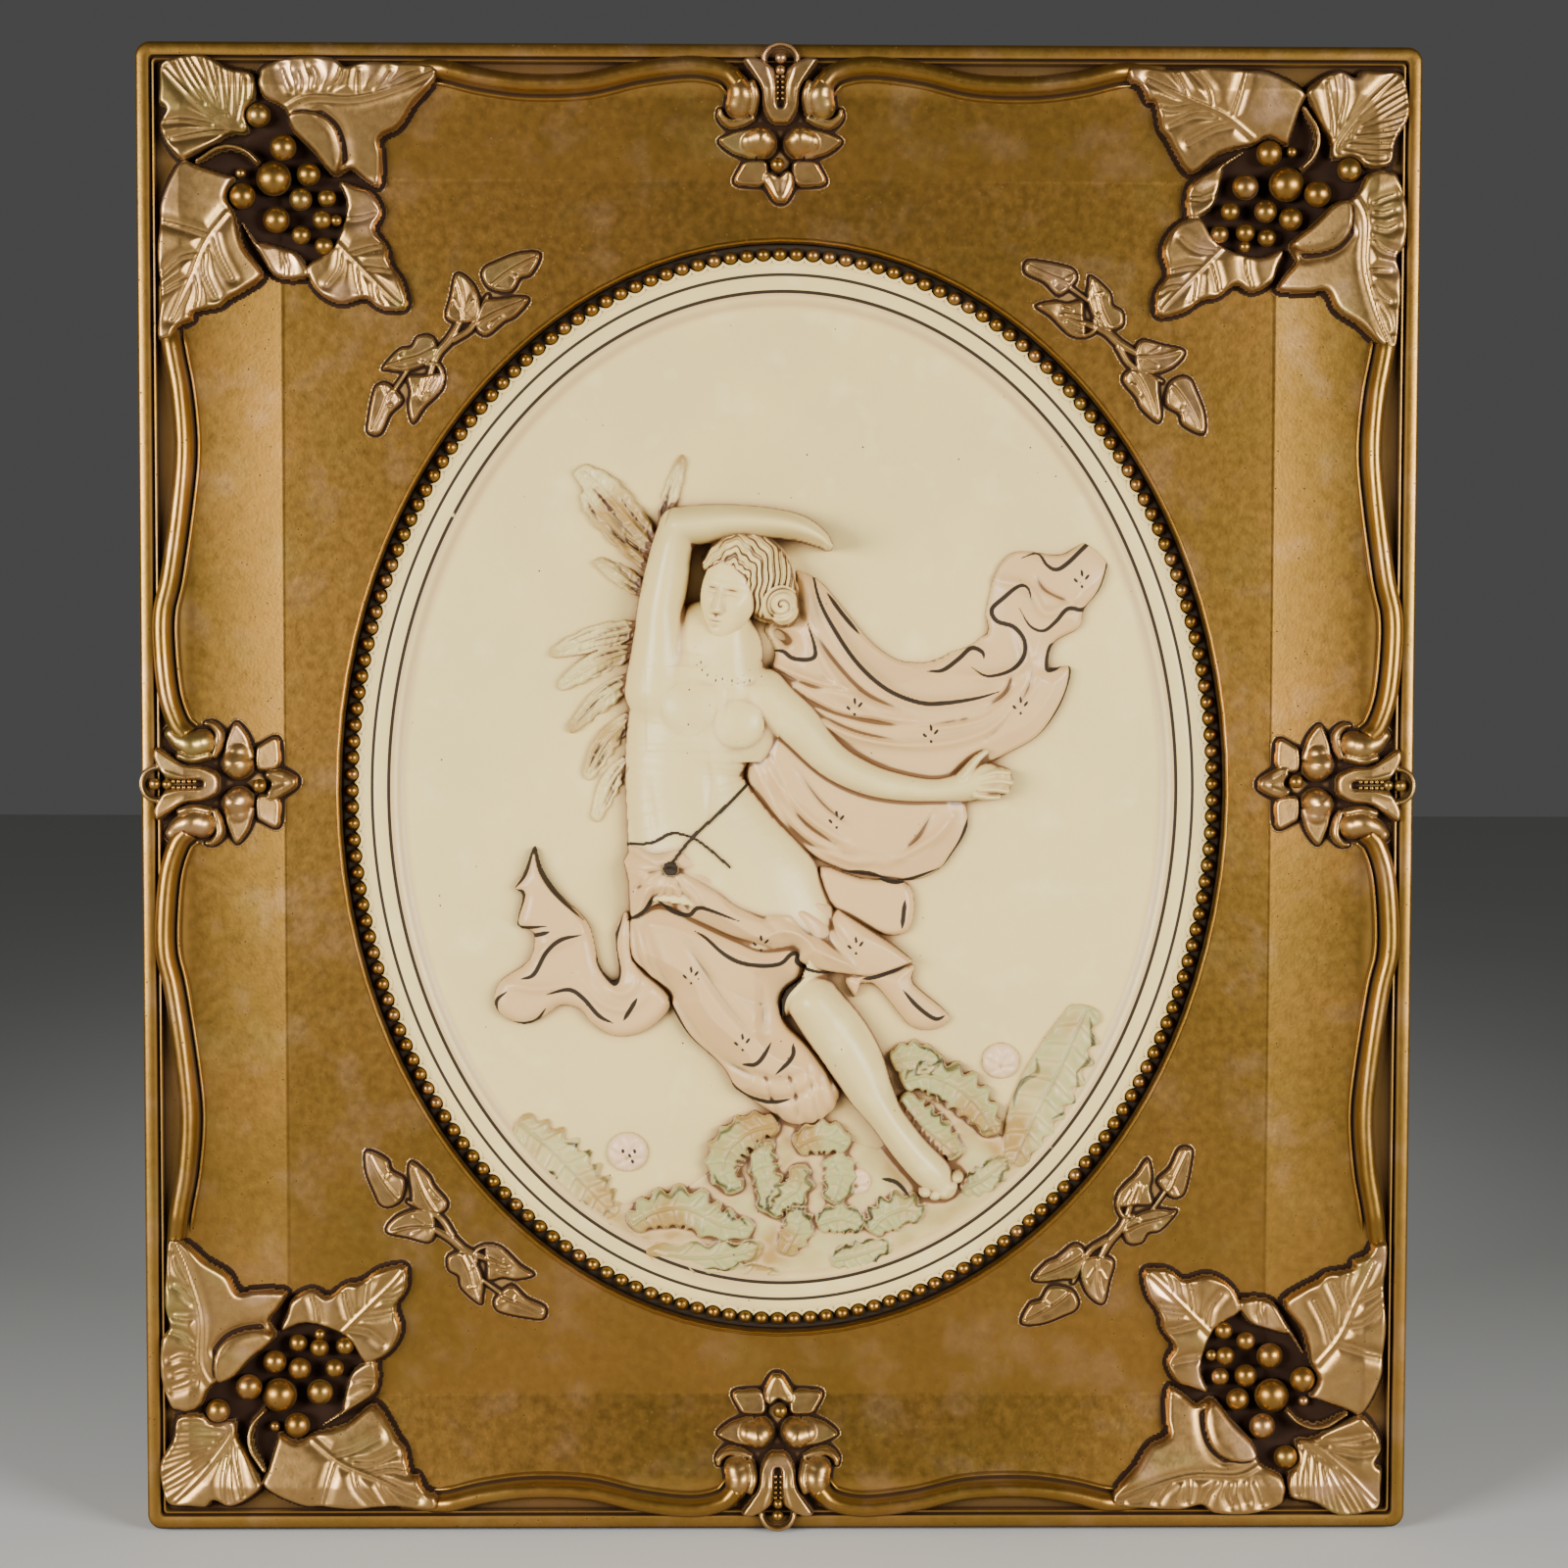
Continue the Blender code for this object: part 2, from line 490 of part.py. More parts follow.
WING_FEATHERS = [
    [(664, 575, 9, 3.5), (640, 535, 14, 3.5), (610, 500, 14, 2.6), (585, 480, 8, 1.4)],
    [(662, 590, 9, 3.2), (636, 560, 13, 3.0), (606, 530, 12, 2.2), (592, 510, 7, 1.2)],
    [(656, 610, 8, 3.0), (630, 590, 11, 2.6), (606, 572, 8, 1.4)],
    [(668, 545, 7, 3.0), (680, 510, 8, 2.2), (696, 465, 6, 1.2)],
    [(648, 640, 9, 3.2), (610, 652, 13, 2.8), (565, 668, 8, 1.2)],
    [(645, 660, 9, 3.2), (606, 680, 13, 2.8), (570, 700, 8, 1.2)],
    [(642, 690, 9, 3.2), (612, 715, 13, 2.6), (580, 745, 8, 1.2)],
    [(638, 730, 9, 3.0), (615, 760, 13, 2.4), (596, 795, 8, 1.2)],
    [(636, 775, 8, 2.6), (620, 800, 11, 2.2), (605, 838, 7, 1.2)],
]
PLANTS = [
    [(637, 1188, 21, 3.0), (638, 1190, 21, 3.0)], [(1027, 1092, 18, 3.0), (1027, 1094, 18, 3.0)],
    [(877, 1219, 14, 2.6), (878, 1220, 14, 2.6)],
    [(636, 1262, 18, 2.2), (680, 1245, 30, 4.0), (740, 1262, 30, 3.8), (790, 1262, 24, 3.2)],
    [(650, 1290, 14, 2.0), (720, 1292, 22, 3.2), (800, 1300, 20, 3.0), (880, 1292, 18, 2.2)],
    [(800, 1160, 16, 3.5), (765, 1170, 20, 4.5), (738, 1195, 20, 4.2), (745, 1230, 20, 3.5), (790, 1240, 16, 2.8)],
    [(800, 1165, 12, 3.2), (800, 1200, 16, 4.2), (805, 1240, 14, 3.4), (800, 1300, 14, 3.0)],
    [(820, 1165, 14, 3.2), (840, 1190, 16, 3.8), (830, 1225, 16, 3.4), (845, 1262, 18, 3.0)],
    [(880, 1245, 20, 2.6), (910, 1240, 22, 3.2), (905, 1275, 18, 2.4)],
    [(918, 1100, 14, 3.0), (950, 1110, 20, 3.8), (985, 1130, 20, 3.6), (1005, 1165, 16, 2.6)],
    [(925, 1120, 12, 3.2), (955, 1145, 20, 3.8), (985, 1175, 18, 3.0), (1000, 1205, 14, 2.4)],
    [(1115, 1035, 8, 1.4), (1095, 1085, 18, 2.4), (1065, 1140, 22, 2.6), (1045, 1180, 14, 1.8)],
    [(525, 1155, 8, 1.4), (560, 1190, 14, 2.2), (600, 1225, 16, 2.2), (625, 1250, 10, 1.6)],
    [(960, 1250, 12, 1.6), (1000, 1240, 14, 1.8), (1040, 1205, 10, 1.4)],
]
MOUND = [(520, 1170), (600, 1240), (700, 1225), (800, 1150), (900, 1185), (960, 1130), (1030, 1170), (1100, 1080),
         (1110, 1120), (1030, 1225), (930, 1290), (800, 1318), (680, 1300), (590, 1250)]


def figure_heights(relief):
    """Heights of the figure, her drapery and the plants above the oval's ground."""
    unit = FIGURE_HEIGHT / FIGURE_SHEET_HEIGHT

    def laid(points):
        return on_plan(points, FIGURE_SHEET_ORIGIN, unit, (OVAL_SHIFT, FIGURE_RISE))

    def spot(x, y, radius, top):
        return laid([(x, y, radius, top), (x + 1, y, radius, top)])

    flesh = relief.blank()
    for part in FLESH:
        relief.limb(flesh, laid(part), blend=FLESH_BLEND)
    for breast in BREASTS:
        relief.limb(flesh, spot(*breast), blend=BREAST_BLEND, base=BREAST_BASE)
    for toe in TOES:
        relief.limb(flesh, spot(*toe), blend=TOE_BLEND)
    for finger in FINGERS:
        relief.line(flesh, laid(finger), FINGER_GROOVE_WIDTH, -FINGER_GROOVE_DEPTH)
    head = relief.blank()
    for part in HEAD:
        relief.limb(head, laid(part), blend=HEAD_BLEND)
    body = np.maximum(flesh, head)
    relief.line(body, laid(HEAD_HOLLOW), HEAD_HOLLOW_WIDTH, -HEAD_HOLLOW_DEPTH)

    under = relief.blank()
    for part in THIGHS:
        relief.limb(under, laid(part), blend=THIGH_BLEND)
    skirts = relief.blank()
    relief.cloth(skirts, under, laid(UNDERSKIRT), UNDERSKIRT_HEM, UNDERSKIRT_SLOPE)
    for fold in UNDERSKIRT_FOLDS:
        relief.line(skirts, laid(fold), UNDERSKIRT_FOLD_WIDTH, -UNDERSKIRT_FOLD_DEPTH)
    wrap = relief.blank()
    covered = np.maximum(under + WRAP_OVER_THIGH, flesh + WRAP_OVER_BODY)
    relief.cloth(wrap, covered, laid(SKIRT), WRAP_HEM, WRAP_SLOPE)
    relief.cloth(wrap, under, laid(FLAP), FLAP_HEM, FLAP_SLOPE)
    for fold in SKIRT_FOLDS:
        relief.line(wrap, laid(fold), WRAP_FOLD_WIDTH, -WRAP_FOLD_DEPTH)

    sail = relief.blank()
    for part in VEIL_BODY:
        relief.limb(sail, laid(part), blend=VEIL_BLEND)
    veil = relief.blank()
    relief.cloth(veil, sail, laid(VEIL), VEIL_HEM, VEIL_SLOPE)
    relief.pad(veil, laid(VEIL_TAIL), VEIL_TAIL_RISE, VEIL_TAIL_EDGE)
    for fold in VEIL_FOLDS:
        relief.line(veil, laid(fold), VEIL_FOLD_WIDTH, VEIL_FOLD_RISE)
    scarf = relief.blank()
    relief.pad(scarf, laid(SCARF), SCARF_RISE, SCARF_EDGE)
    for fold in SCARF_FOLDS:
        relief.line(scarf, laid(fold), SCARF_FOLD_WIDTH, SCARF_FOLD_RISE)

    plants = relief.blank()
    relief.pad(plants, laid(MOUND), MOUND_RISE, MOUND_EDGE)
    for part in WING_FEATHERS + PLANTS:
        relief.limb(plants, laid(part))
    return np.maximum.reduce([body, skirts, wrap, veil, scarf, plants])


def new_object(name, bm):
    mesh = bpy.data.meshes.new(name)
    bmesh.ops.recalc_face_normals(bm, faces=bm.faces)
    bm.to_mesh(mesh)
    bm.free()
    piece = bpy.data.objects.new(name, mesh)
    bpy.context.scene.collection.objects.link(piece)
    return piece


def carved_block(name, relief, heights, triangles):
    """A block with this front, whose flat back lies inside the body it joins, thinned where it is plain."""
    columns, rows = len(relief.x) - 1, len(relief.z) - 1
    bm = bmesh.new()
    bmesh.ops.create_grid(bm, x_segments=columns, y_segments=rows, size=0.5)
    for vert in bm.verts:
        column = round((vert.co.x + 0.5) * columns)
        row = round((vert.co.y + 0.5) * rows)
        vert.co = (relief.x[column], -heights[row, column], relief.z[row])
    rim = [edge for edge in bm.edges if edge.is_boundary]
    made = bmesh.ops.extrude_edge_only(bm, edges=rim)["geom"]
    for vert in made:
        if isinstance(vert, bmesh.types.BMVert):
            vert.co.y = -FLANGE_THICKNESS - SPARE
    loop = [edge for edge in made if isinstance(edge, bmesh.types.BMEdge)]
    bmesh.ops.contextual_create(bm, geom=loop)
    count = sum(len(face.verts) - 2 for face in bm.faces)
    piece = new_object(name, bm)
    thin = piece.modifiers.new("thin", "DECIMATE")
    thin.ratio = triangles / count
    return piece


def stack(name, loops):
    """A closed solid through loops with the same number of points, each as (points in x and z, y)."""
    bm = bmesh.new()
    bmesh.ops.create_circle(bm, cap_ends=True, segments=len(loops[0][0]), radius=1)
    cap = bm.faces[:][0]
    for step, (points, y) in enumerate(loops):
        if step:
            covered = [cap] if step > 1 else []
            made = bmesh.ops.extrude_face_region(bm, geom=[cap])["geom"]
            cap = next(item for item in made if isinstance(item, bmesh.types.BMFace))
            bmesh.ops.delete(bm, geom=covered, context="FACES_ONLY")
        for vert, (x, z) in zip(cap.verts, points):
            vert.co = (x, y, z)
    return new_object(name, bm)


def oval(margin):
    """Points of the oval that lies this far outside the middle line of the bead ring."""
    turn = np.linspace(0, 2 * np.pi, OVAL_SEGMENTS, endpoint=False)
    x = OVAL_SHIFT + (BEAD_RING_HALF_WIDTH + margin) * np.cos(turn)
    z = OVAL_RISE + (BEAD_RING_HALF_HEIGHT + margin) * np.sin(turn)
    return list(zip(x, z))


def frame_loop(from_side, from_end, radius):
    """Points of a rounded rectangle inset from the frame's sides and ends, with a point at each middle."""
    across, up = FRAME_WIDTH / 2 - from_side, FRAME_HEIGHT / 2 - from_end
    points = []
    for quarter in range(4):
        x_sign, z_sign = [(1, 1), (-1, 1), (-1, -1), (1, -1)][quarter]
        points.append([(across, 0), (0, up), (-across, 0), (0, -up)][quarter])
        for turn in (quarter + np.linspace(0, 1, CORNER_SIDES + 1)) * np.pi / 2:
            points.append((x_sign * (across - radius) + radius * np.cos(turn),
                           z_sign * (up - radius) + radius * np.sin(turn)))
    return points


def frame_body():
    """The plain frame: back, rounded rim, groove, recess, sloping band and panel."""
    back = frame_loop(0, 0, CORNER_RADIUS)
    loops = [(back, 0.0), (back, EDGE_ROUNDING - RIM_LEVEL)]
    for turn in (np.pi / 4, np.pi / 2):
        inset = EDGE_ROUNDING * (1 - np.cos(turn))
        height = RIM_LEVEL - EDGE_ROUNDING * (1 - np.sin(turn))
        loops.append((frame_loop(inset, inset, CORNER_RADIUS - inset), -height))
    inner = [(RIM_WIDTH - GROOVE_WIDTH / 2, RIM_LEVEL), (RIM_WIDTH, RIM_LEVEL - GROOVE_DEPTH),
             (RIM_WIDTH + GROOVE_WIDTH, RECESS_LEVEL), (BAND_START, RECESS_LEVEL)]
    for inset, height in inner:
        loops.append((frame_loop(inset, inset, INNER_RADIUS), -height))
    for band in BAND_STEPS:
        side = CREASE_FROM_SIDE + band * (BAND_START - CREASE_FROM_SIDE)
        end = CREASE_FROM_END + band * (BAND_START - CREASE_FROM_END)
        height = PANEL_LEVEL + (RECESS_LEVEL - PANEL_LEVEL) * (1 - (1 - band) ** BAND_HOLLOW)
        loops.append((frame_loop(side, end, CREASE_RADIUS), -height))
    return stack("frame", loops)


def rod_bars():
    """The rods as closed round bars, flattened to their height over the recess."""
    turns = np.linspace(0, 2 * np.pi, ROD_SIDES, endpoint=False)
    rise = ROD_TOP - RECESS_LEVEL
    pieces = bmesh.new()
    for line in rod_lines():
        path = through(line, spans=1)
        heading = np.gradient(path, axis=0)
        heading /= np.linalg.norm(heading, axis=1)[:, None]
        bm = bmesh.new()
        bmesh.ops.create_circle(bm, cap_ends=True, segments=ROD_SIDES, radius=1)
        cap = bm.faces[:][0]
        for step, ((x, z), (along_x, along_z)) in enumerate(zip(path, heading)):
            if step:
                covered = [cap] if step > 1 else []
                made = bmesh.ops.extrude_face_region(bm, geom=[cap])["geom"]
                cap = next(item for item in made if isinstance(item, bmesh.types.BMFace))
                bmesh.ops.delete(bm, geom=covered, context="FACES_ONLY")
            for vert, turn in zip(cap.verts, turns):
                out = ROD_WIDTH / 2 * np.cos(turn)
                vert.co = (x - along_z * out, -RECESS_LEVEL - rise * np.sin(turn), z + along_x * out)
        bmesh.ops.recalc_face_normals(bm, faces=bm.faces)
        mesh = bpy.data.meshes.new("rod")
        bm.to_mesh(mesh)
        bm.free()
        pieces.from_mesh(mesh)
        bpy.data.meshes.remove(mesh)
    return new_object("rods", pieces)


def medallion_body():
    """The plain medallion: flange, edge, bead ring, border and ground."""
    flange = SIGHT_MARGIN + FLANGE_MARGIN - FIT_CLEARANCE
    edge = SIGHT_MARGIN - FIT_CLEARANCE
    bead = BEAD_DIAMETER / 2
    foot = BORDER_LEVEL - CHANNEL_DEPTH
    section = [
        (flange, 0.0), (flange, FLANGE_THICKNESS), (edge, FLANGE_THICKNESS), (edge, foot), (bead, foot),
        (0, foot + BEAD_RISE),
        (-bead, BORDER_LEVEL), (-BORDER_WIDTH, BORDER_LEVEL),
        (-BORDER_WIDTH - BORDER_SLOPE, GROUND_LEVEL),
    ]
    return stack("relief_medallion", [(oval(margin), -height) for margin, height in section])


def shape_with(piece, operation, other):
    cut = piece.modifiers.new(other.name, "BOOLEAN")
    cut.operation = operation
    cut.object = other
    other.hide_render = True
    other.display_type = "WIRE"


def finish(piece, name, color, metallic, roughness):
    """Give the piece its material, and shade it smooth with sharp edges where it turns sharply."""
    material = bpy.data.materials.new(name)
    material.use_nodes = True
    shader = material.node_tree.nodes["Principled BSDF"]
    shader.inputs["Base Color"].default_value = (*color, 1)
    shader.inputs["Metallic"].default_value = metallic
    shader.inputs["Roughness"].default_value = roughness
    piece.data.materials.append(material)
    piece.data.shade_smooth()


for old in list(bpy.data.objects):
    bpy.data.objects.remove(old)

opening_front = -(ROD_TOP + 10 * SPARE)
opening = stack("frame_opening", [
    (oval(SIGHT_MARGIN + FLANGE_MARGIN), SPARE),
    (oval(SIGHT_MARGIN + FLANGE_MARGIN), -FLANGE_THICKNESS - FIT_CLEARANCE),
    (oval(SIGHT_MARGIN), -FLANGE_THICKNESS - FIT_CLEARANCE),
    (oval(SIGHT_MARGIN), opening_front),
])

grid = Relief(FRAME_WIDTH - EDGE_ROUNDING, FRAME_HEIGHT - EDGE_ROUNDING, FRAME_PITCH)
ornament = carved_block("frame_ornament", grid, ornament_heights(grid), ORNAMENT_TRIANGLES)
frame = frame_body()
shape_with(frame, "UNION", rod_bars())
shape_with(frame, "UNION", ornament)
shape_with(frame, "DIFFERENCE", opening)
finish(frame, "old_gold", (0.42, 0.29, 0.11), 0.6, 0.42)

grid = Relief(2 * BEAD_RING_HALF_WIDTH, 2 * BEAD_RING_HALF_HEIGHT, RELIEF_PITCH, OVAL_SHIFT)
heights = GROUND_LEVEL + np.maximum(figure_heights(grid), -ROOT_DEPTH)
figure = carved_block("figure_carving", grid, heights, FIGURE_TRIANGLES)
shape_with(figure, "INTERSECT", stack("figure_bounds", [
    (oval(-BORDER_WIDTH), -FLANGE_THICKNESS),
    (oval(-BORDER_WIDTH), -ROD_TOP),
]))
medallion = medallion_body()
shape_with(medallion, "UNION", figure)
finish(medallion, "ivory_ceramic", (0.78, 0.72, 0.56), 0.0, 0.35)
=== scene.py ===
import bmesh
import bpy
import numpy as np
from mathutils import Matrix


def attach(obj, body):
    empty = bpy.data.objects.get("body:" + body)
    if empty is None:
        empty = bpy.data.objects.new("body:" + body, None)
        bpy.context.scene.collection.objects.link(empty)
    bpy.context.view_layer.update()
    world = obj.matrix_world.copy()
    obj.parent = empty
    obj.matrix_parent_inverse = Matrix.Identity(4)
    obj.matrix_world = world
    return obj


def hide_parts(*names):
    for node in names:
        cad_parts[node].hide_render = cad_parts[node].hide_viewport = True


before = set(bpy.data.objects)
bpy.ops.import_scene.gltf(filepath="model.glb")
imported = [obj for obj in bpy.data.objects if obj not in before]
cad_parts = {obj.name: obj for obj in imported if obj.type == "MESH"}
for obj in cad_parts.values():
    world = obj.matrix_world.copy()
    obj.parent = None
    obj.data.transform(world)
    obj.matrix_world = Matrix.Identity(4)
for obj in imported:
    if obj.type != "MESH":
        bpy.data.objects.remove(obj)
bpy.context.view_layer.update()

MM = 0.001

# Frame moulding. The real one is the body of a press-moulded ceramic plaque, about 10 mm thick,
# painted old gold and rubbed with brown. Outside in: flat rim, fine reeds, a sunk strip, a band
# that slopes down to a crease, and a flat panel that ends at the oval opening.

FRAME_WIDTH = 0.428
FRAME_HEIGHT = 0.500
FRAME_CORNER = 0.0050
RIM_LEVEL = 0.0360
STRIP_LEVEL = 0.0335
PANEL_LEVEL = 0.0235
BAND_START = 0.0150
BAND_HOLLOW = 1.12
CREASE_FROM_SIDE = 0.0465
CREASE_FROM_END = 0.0432
CREASE_SHARPNESS = 7.0
CREASE_CORNER = 0.0080
REBATE_LEVEL = 0.0063
REBATE_WIDTH = 0.0060
OVAL_SHIFT = 0.0015
OVAL_RISE = 0.0005
BEAD_RING_HALF_WIDTH = 0.1474
BEAD_RING_HALF_HEIGHT = 0.1826
SIGHT_MARGIN = 0.0036
LIP_WIDTH = 0.0012
FRAME_ARC_STEPS = 10
FRAME_SIDE_STEPS = 26

# Inset from the edge, level, corner radius and share of brown dirt and painted shade of each line of the rim
# and sunk strip
RIM_LINES = [
    (0.0000, 0.0000, FRAME_CORNER, 0.3), (0.0000, 0.0345, FRAME_CORNER, 0.3), (0.0002, 0.0352, 0.0048, 0.1),
    (0.0006, 0.0357, 0.0044, 0.0), (0.0013, RIM_LEVEL, 0.0037, 0.0), (0.0036, RIM_LEVEL, 0.0020, 0.1),
    (0.0045, 0.0357, 0.0016, 0.5), (0.0049, 0.0343, 0.0014, 1.0), (0.0054, 0.0343, 0.0012, 1.0),
    (0.0057, 0.0355, 0.0012, 0.2), (0.0062, 0.0356, 0.0012, 0.3), (0.0066, 0.0340, 0.0012, 1.0),
    (0.0072, STRIP_LEVEL, 0.0012, 0.8), (0.0120, 0.0333, 0.0014, 0.6),
    (BAND_START, STRIP_LEVEL, 0.0016, 0.15),
]


def grid_of(places, layers):
    """A sheet of quads whose points lie at places, shaped (rows, columns, 3), with named values on them."""
    rows, columns = places.shape[0] - 1, places.shape[1] - 1
    sheet = bmesh.new()
    kept = {name: sheet.verts.layers.float.new(name) for name in layers}
    bmesh.ops.create_grid(sheet, x_segments=columns, y_segments=rows, size=0.5)
    for vert in sheet.verts:
        column = round((vert.co.x + 0.5) * columns)
        row = round((vert.co.y + 0.5) * rows)
        vert.co = places[row, column]
        for name, layer in kept.items():
            vert[layer] = layers[name][row, column]
    return sheet


def swept(rings, layers=None, joined=False):
    """A closed skin over rings of points, shaped (rings, points, 3), capped or joined end to end."""
    rings = np.asarray(rings, float)
    layers = {name: np.asarray(values, float) for name, values in (layers or {}).items()}
    rings = np.concatenate([rings, rings[:, :1]], axis=1)
    layers = {name: np.concatenate([v, v[:, :1]], axis=1) for name, v in layers.items()}
    if joined:
        rings = np.concatenate([rings, rings[:1]], axis=0)
        layers = {name: np.concatenate([v, v[:1]], axis=0) for name, v in layers.items()}
    skin = grid_of(rings, layers)
    bmesh.ops.remove_doubles(skin, verts=skin.verts, dist=0.000001)
    bmesh.ops.holes_fill(skin, edges=[edge for edge in skin.edges if edge.is_boundary], sides=0)
    bmesh.ops.recalc_face_normals(skin, faces=skin.faces)
    return skin


def piece_of(name, body, material, node, sharp=None):
    """Make the body an object, finish it, and set it on the plaque in place of the plain CAD node."""
    mesh = bpy.data.meshes.new(name)
    body.to_mesh(mesh)
    body.free()
    mesh.shade_smooth()
    if sharp:
        mesh.set_sharp_from_angle(angle=np.radians(sharp))
    mesh.materials.append(material)
    piece = bpy.data.objects.new(name, mesh)
    bpy.context.scene.collection.objects.link(piece)
    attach(piece, "root")
    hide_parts(node)
    return piece


class Finish:
    """A painted surface, built up coat by coat."""

    def __init__(self, name, roughness, sheen_level=0.5):
        self.material = bpy.data.materials.new(name)
        self.material.use_nodes = True
        self.tree = self.material.node_tree
        self.shader = self.tree.nodes["Principled BSDF"]
        self.shader.inputs["Roughness"].default_value = roughness
        self.shader.inputs["Specular IOR Level"].default_value = sheen_level
        self.place = self.tree.nodes.new("ShaderNodeTexCoord").outputs["Object"]

    def node(self, kind, inputs, **settings):
        made = self.tree.nodes.new(kind)
        for name, value in settings.items():
            setattr(made, name, value)
        for name, value in inputs.items():
            if isinstance(value, bpy.types.NodeSocket):
                self.tree.links.new(value, made.inputs[name])
            else:
                made.inputs[name].default_value = value
        return made

    def noise(self, size, detail=2.0, roughness=0.5):
        """Cloudy values around a half, with clouds of this size in metres."""
        inputs = {"Vector": self.place, "Scale": 1 / size, "Detail": detail, "Roughness": roughness}
        return self.node("ShaderNodeTexNoise", inputs).outputs["Fac"]

    def cells(self, spacing):
        """The distance from the nearest of many scattered points, in shares of their spacing."""
        inputs = {"Vector": self.place, "Scale": 1 / spacing}
        return self.node("ShaderNodeTexVoronoi", inputs).outputs["Distance"]

    def stored(self, name):
        return self.node("ShaderNodeAttribute", {}, attribute_name=name).outputs["Fac"]

    def nook(self, reach):
        """How closed in the surface is, from 0 in the open to 1 in a narrow hollow."""
        open_share = self.node("ShaderNodeAmbientOcclusion", {"Distance": reach}, samples=6).outputs["AO"]
        return self.ramp(open_share, 1.0, 0.0)

    def ramp(self, value, start, end):
        inputs = {"Value": value, "From Min": start, "From Max": end}
        return self.node("ShaderNodeMapRange", inputs, interpolation_type="SMOOTHSTEP").outputs["Result"]

    def sums(self, operation, a, b):
        made = self.node("ShaderNodeMath", {0: a, 1: b}, operation=operation, use_clamp=True)
        return made.outputs["Value"]

    def mixed(self, share, under, over):
        made = self.node("ShaderNodeMix", {0: share, 6: under, 7: over}, data_type="RGBA")
        return made.outputs[2]

    def coat(self, colour, metallic=None, roughness=None, bump=None, bump_depth=0.0001):
        self.tree.links.new(colour, self.shader.inputs["Base Color"])
        if metallic is not None:
            self.tree.links.new(metallic, self.shader.inputs["Metallic"])
        if roughness is not None:
            self.tree.links.new(roughness, self.shader.inputs["Roughness"])
        if bump is not None:
            grain = self.node("ShaderNodeBump", {"Height": bump, "Distance": bump_depth, "Strength": 1.0})
            self.tree.links.new(grain.outputs["Normal"], self.shader.inputs["Normal"])
        return self.material


def tone(red, green, blue):
    """A display colour, each part from 0 to 255, as the shader's linear colour."""
    parts = [part / 255 for part in (red, green, blue)]
    return (*[part / 12.92 if part <= 0.04045 else ((part + 0.055) / 1.055) ** 2.4 for part in parts], 1.0)


def old_gold(name, dirt_and_shade, warm=0.35, light=0.0):
    """Gold paint over a brown ground: cloudy, pin-holed, darkened by brown dirt and painted shade in hollows
    and grooves, and paler over the whole piece by the share given as light.
    """
    gold = Finish(name, 0.42, 0.08)
    dirt_and_shade = dirt_and_shade(gold)
    clouds = gold.ramp(gold.noise(0.060, 3), 0.35, 0.65)
    colour = gold.mixed(clouds, tone(132, 99, 42), tone(144, 105, 48))
    colour = gold.mixed(light, colour, tone(196, 160, 112))
    rosy = gold.sums("MULTIPLY", gold.ramp(gold.noise(0.016, 3), 0.52, 0.72), warm)
    colour = gold.mixed(rosy, colour, tone(212, 168, 128))
    green = gold.sums("MULTIPLY", gold.ramp(gold.noise(0.023, 2), 0.55, 0.78), warm)
    colour = gold.mixed(green, colour, tone(164, 148, 84))
    patchy = gold.ramp(gold.noise(0.004, 4, 0.7), 0.40, 0.75)
    colour = gold.mixed(gold.sums("MULTIPLY", patchy, 0.35), colour, tone(118, 86, 42))
    holes = gold.ramp(gold.cells(0.0024), 0.16, 0.07)
    specks = gold.sums("MULTIPLY", holes, gold.ramp(gold.noise(0.006, 2), 0.46, 0.60))
    # Pin-holes, brown dirt and painted shade darken the gold towards black-brown.
    dark = gold.sums("MAXIMUM", specks, dirt_and_shade)
    colour = gold.mixed(dark, colour, tone(38, 22, 11))
    metallic = gold.ramp(dark, 1.0, -0.2)
    roughness = gold.sums("ADD", gold.sums("MULTIPLY", gold.noise(0.003, 3), 0.20), 0.24)
    roughness = gold.sums("ADD", roughness, gold.sums("MULTIPLY", dark, 0.35))
    return gold.coat(colour, metallic, roughness, gold.noise(0.0011, 3), 0.00003)


def frame_line(from_side, from_end, radius):
    """Points of a rounded rectangle inset from the frame's sides and ends."""
    across, up = FRAME_WIDTH / 2 - from_side, FRAME_HEIGHT / 2 - from_end
    corner = np.linspace(0, np.pi / 2, FRAME_ARC_STEPS + 1)
    run = np.linspace(0, 1, FRAME_SIDE_STEPS + 1)[1:-1]
    points = []
    for quarter in range(4):
        x_sign, z_sign = [(1, 1), (-1, 1), (-1, -1), (1, -1)][quarter]
        turn = corner + quarter * np.pi / 2
        x = x_sign * (across - radius) + radius * np.cos(turn)
        z = z_sign * (up - radius) + radius * np.sin(turn)
        points.extend(zip(x, z))
        x_sign, z_sign = [(-1, 1), (-1, -1), (1, -1), (1, 1)][quarter]
        start = np.array(points[-1])
        turn = (quarter + 1) * np.pi / 2
        end = np.array([x_sign * (across - radius) + radius * np.cos(turn),
                        z_sign * (up - radius) + radius * np.sin(turn)])
        points.extend(start + (end - start) * share for share in run)
    return np.array(points)


def oval_line(margin, angles):
    """Points of the oval that lies this far outside the middle line of the bead ring."""
    x = OVAL_SHIFT + (BEAD_RING_HALF_WIDTH + margin) * np.cos(angles)
    z = OVAL_RISE + (BEAD_RING_HALF_HEIGHT + margin) * np.sin(angles)
    return np.stack([x, z], axis=1)


def at_level(line, level):
    """A line of x and z set at this distance in front of the plaque's back."""
    return np.stack([line[:, 0], np.full(len(line), -level), line[:, 1]], axis=1)


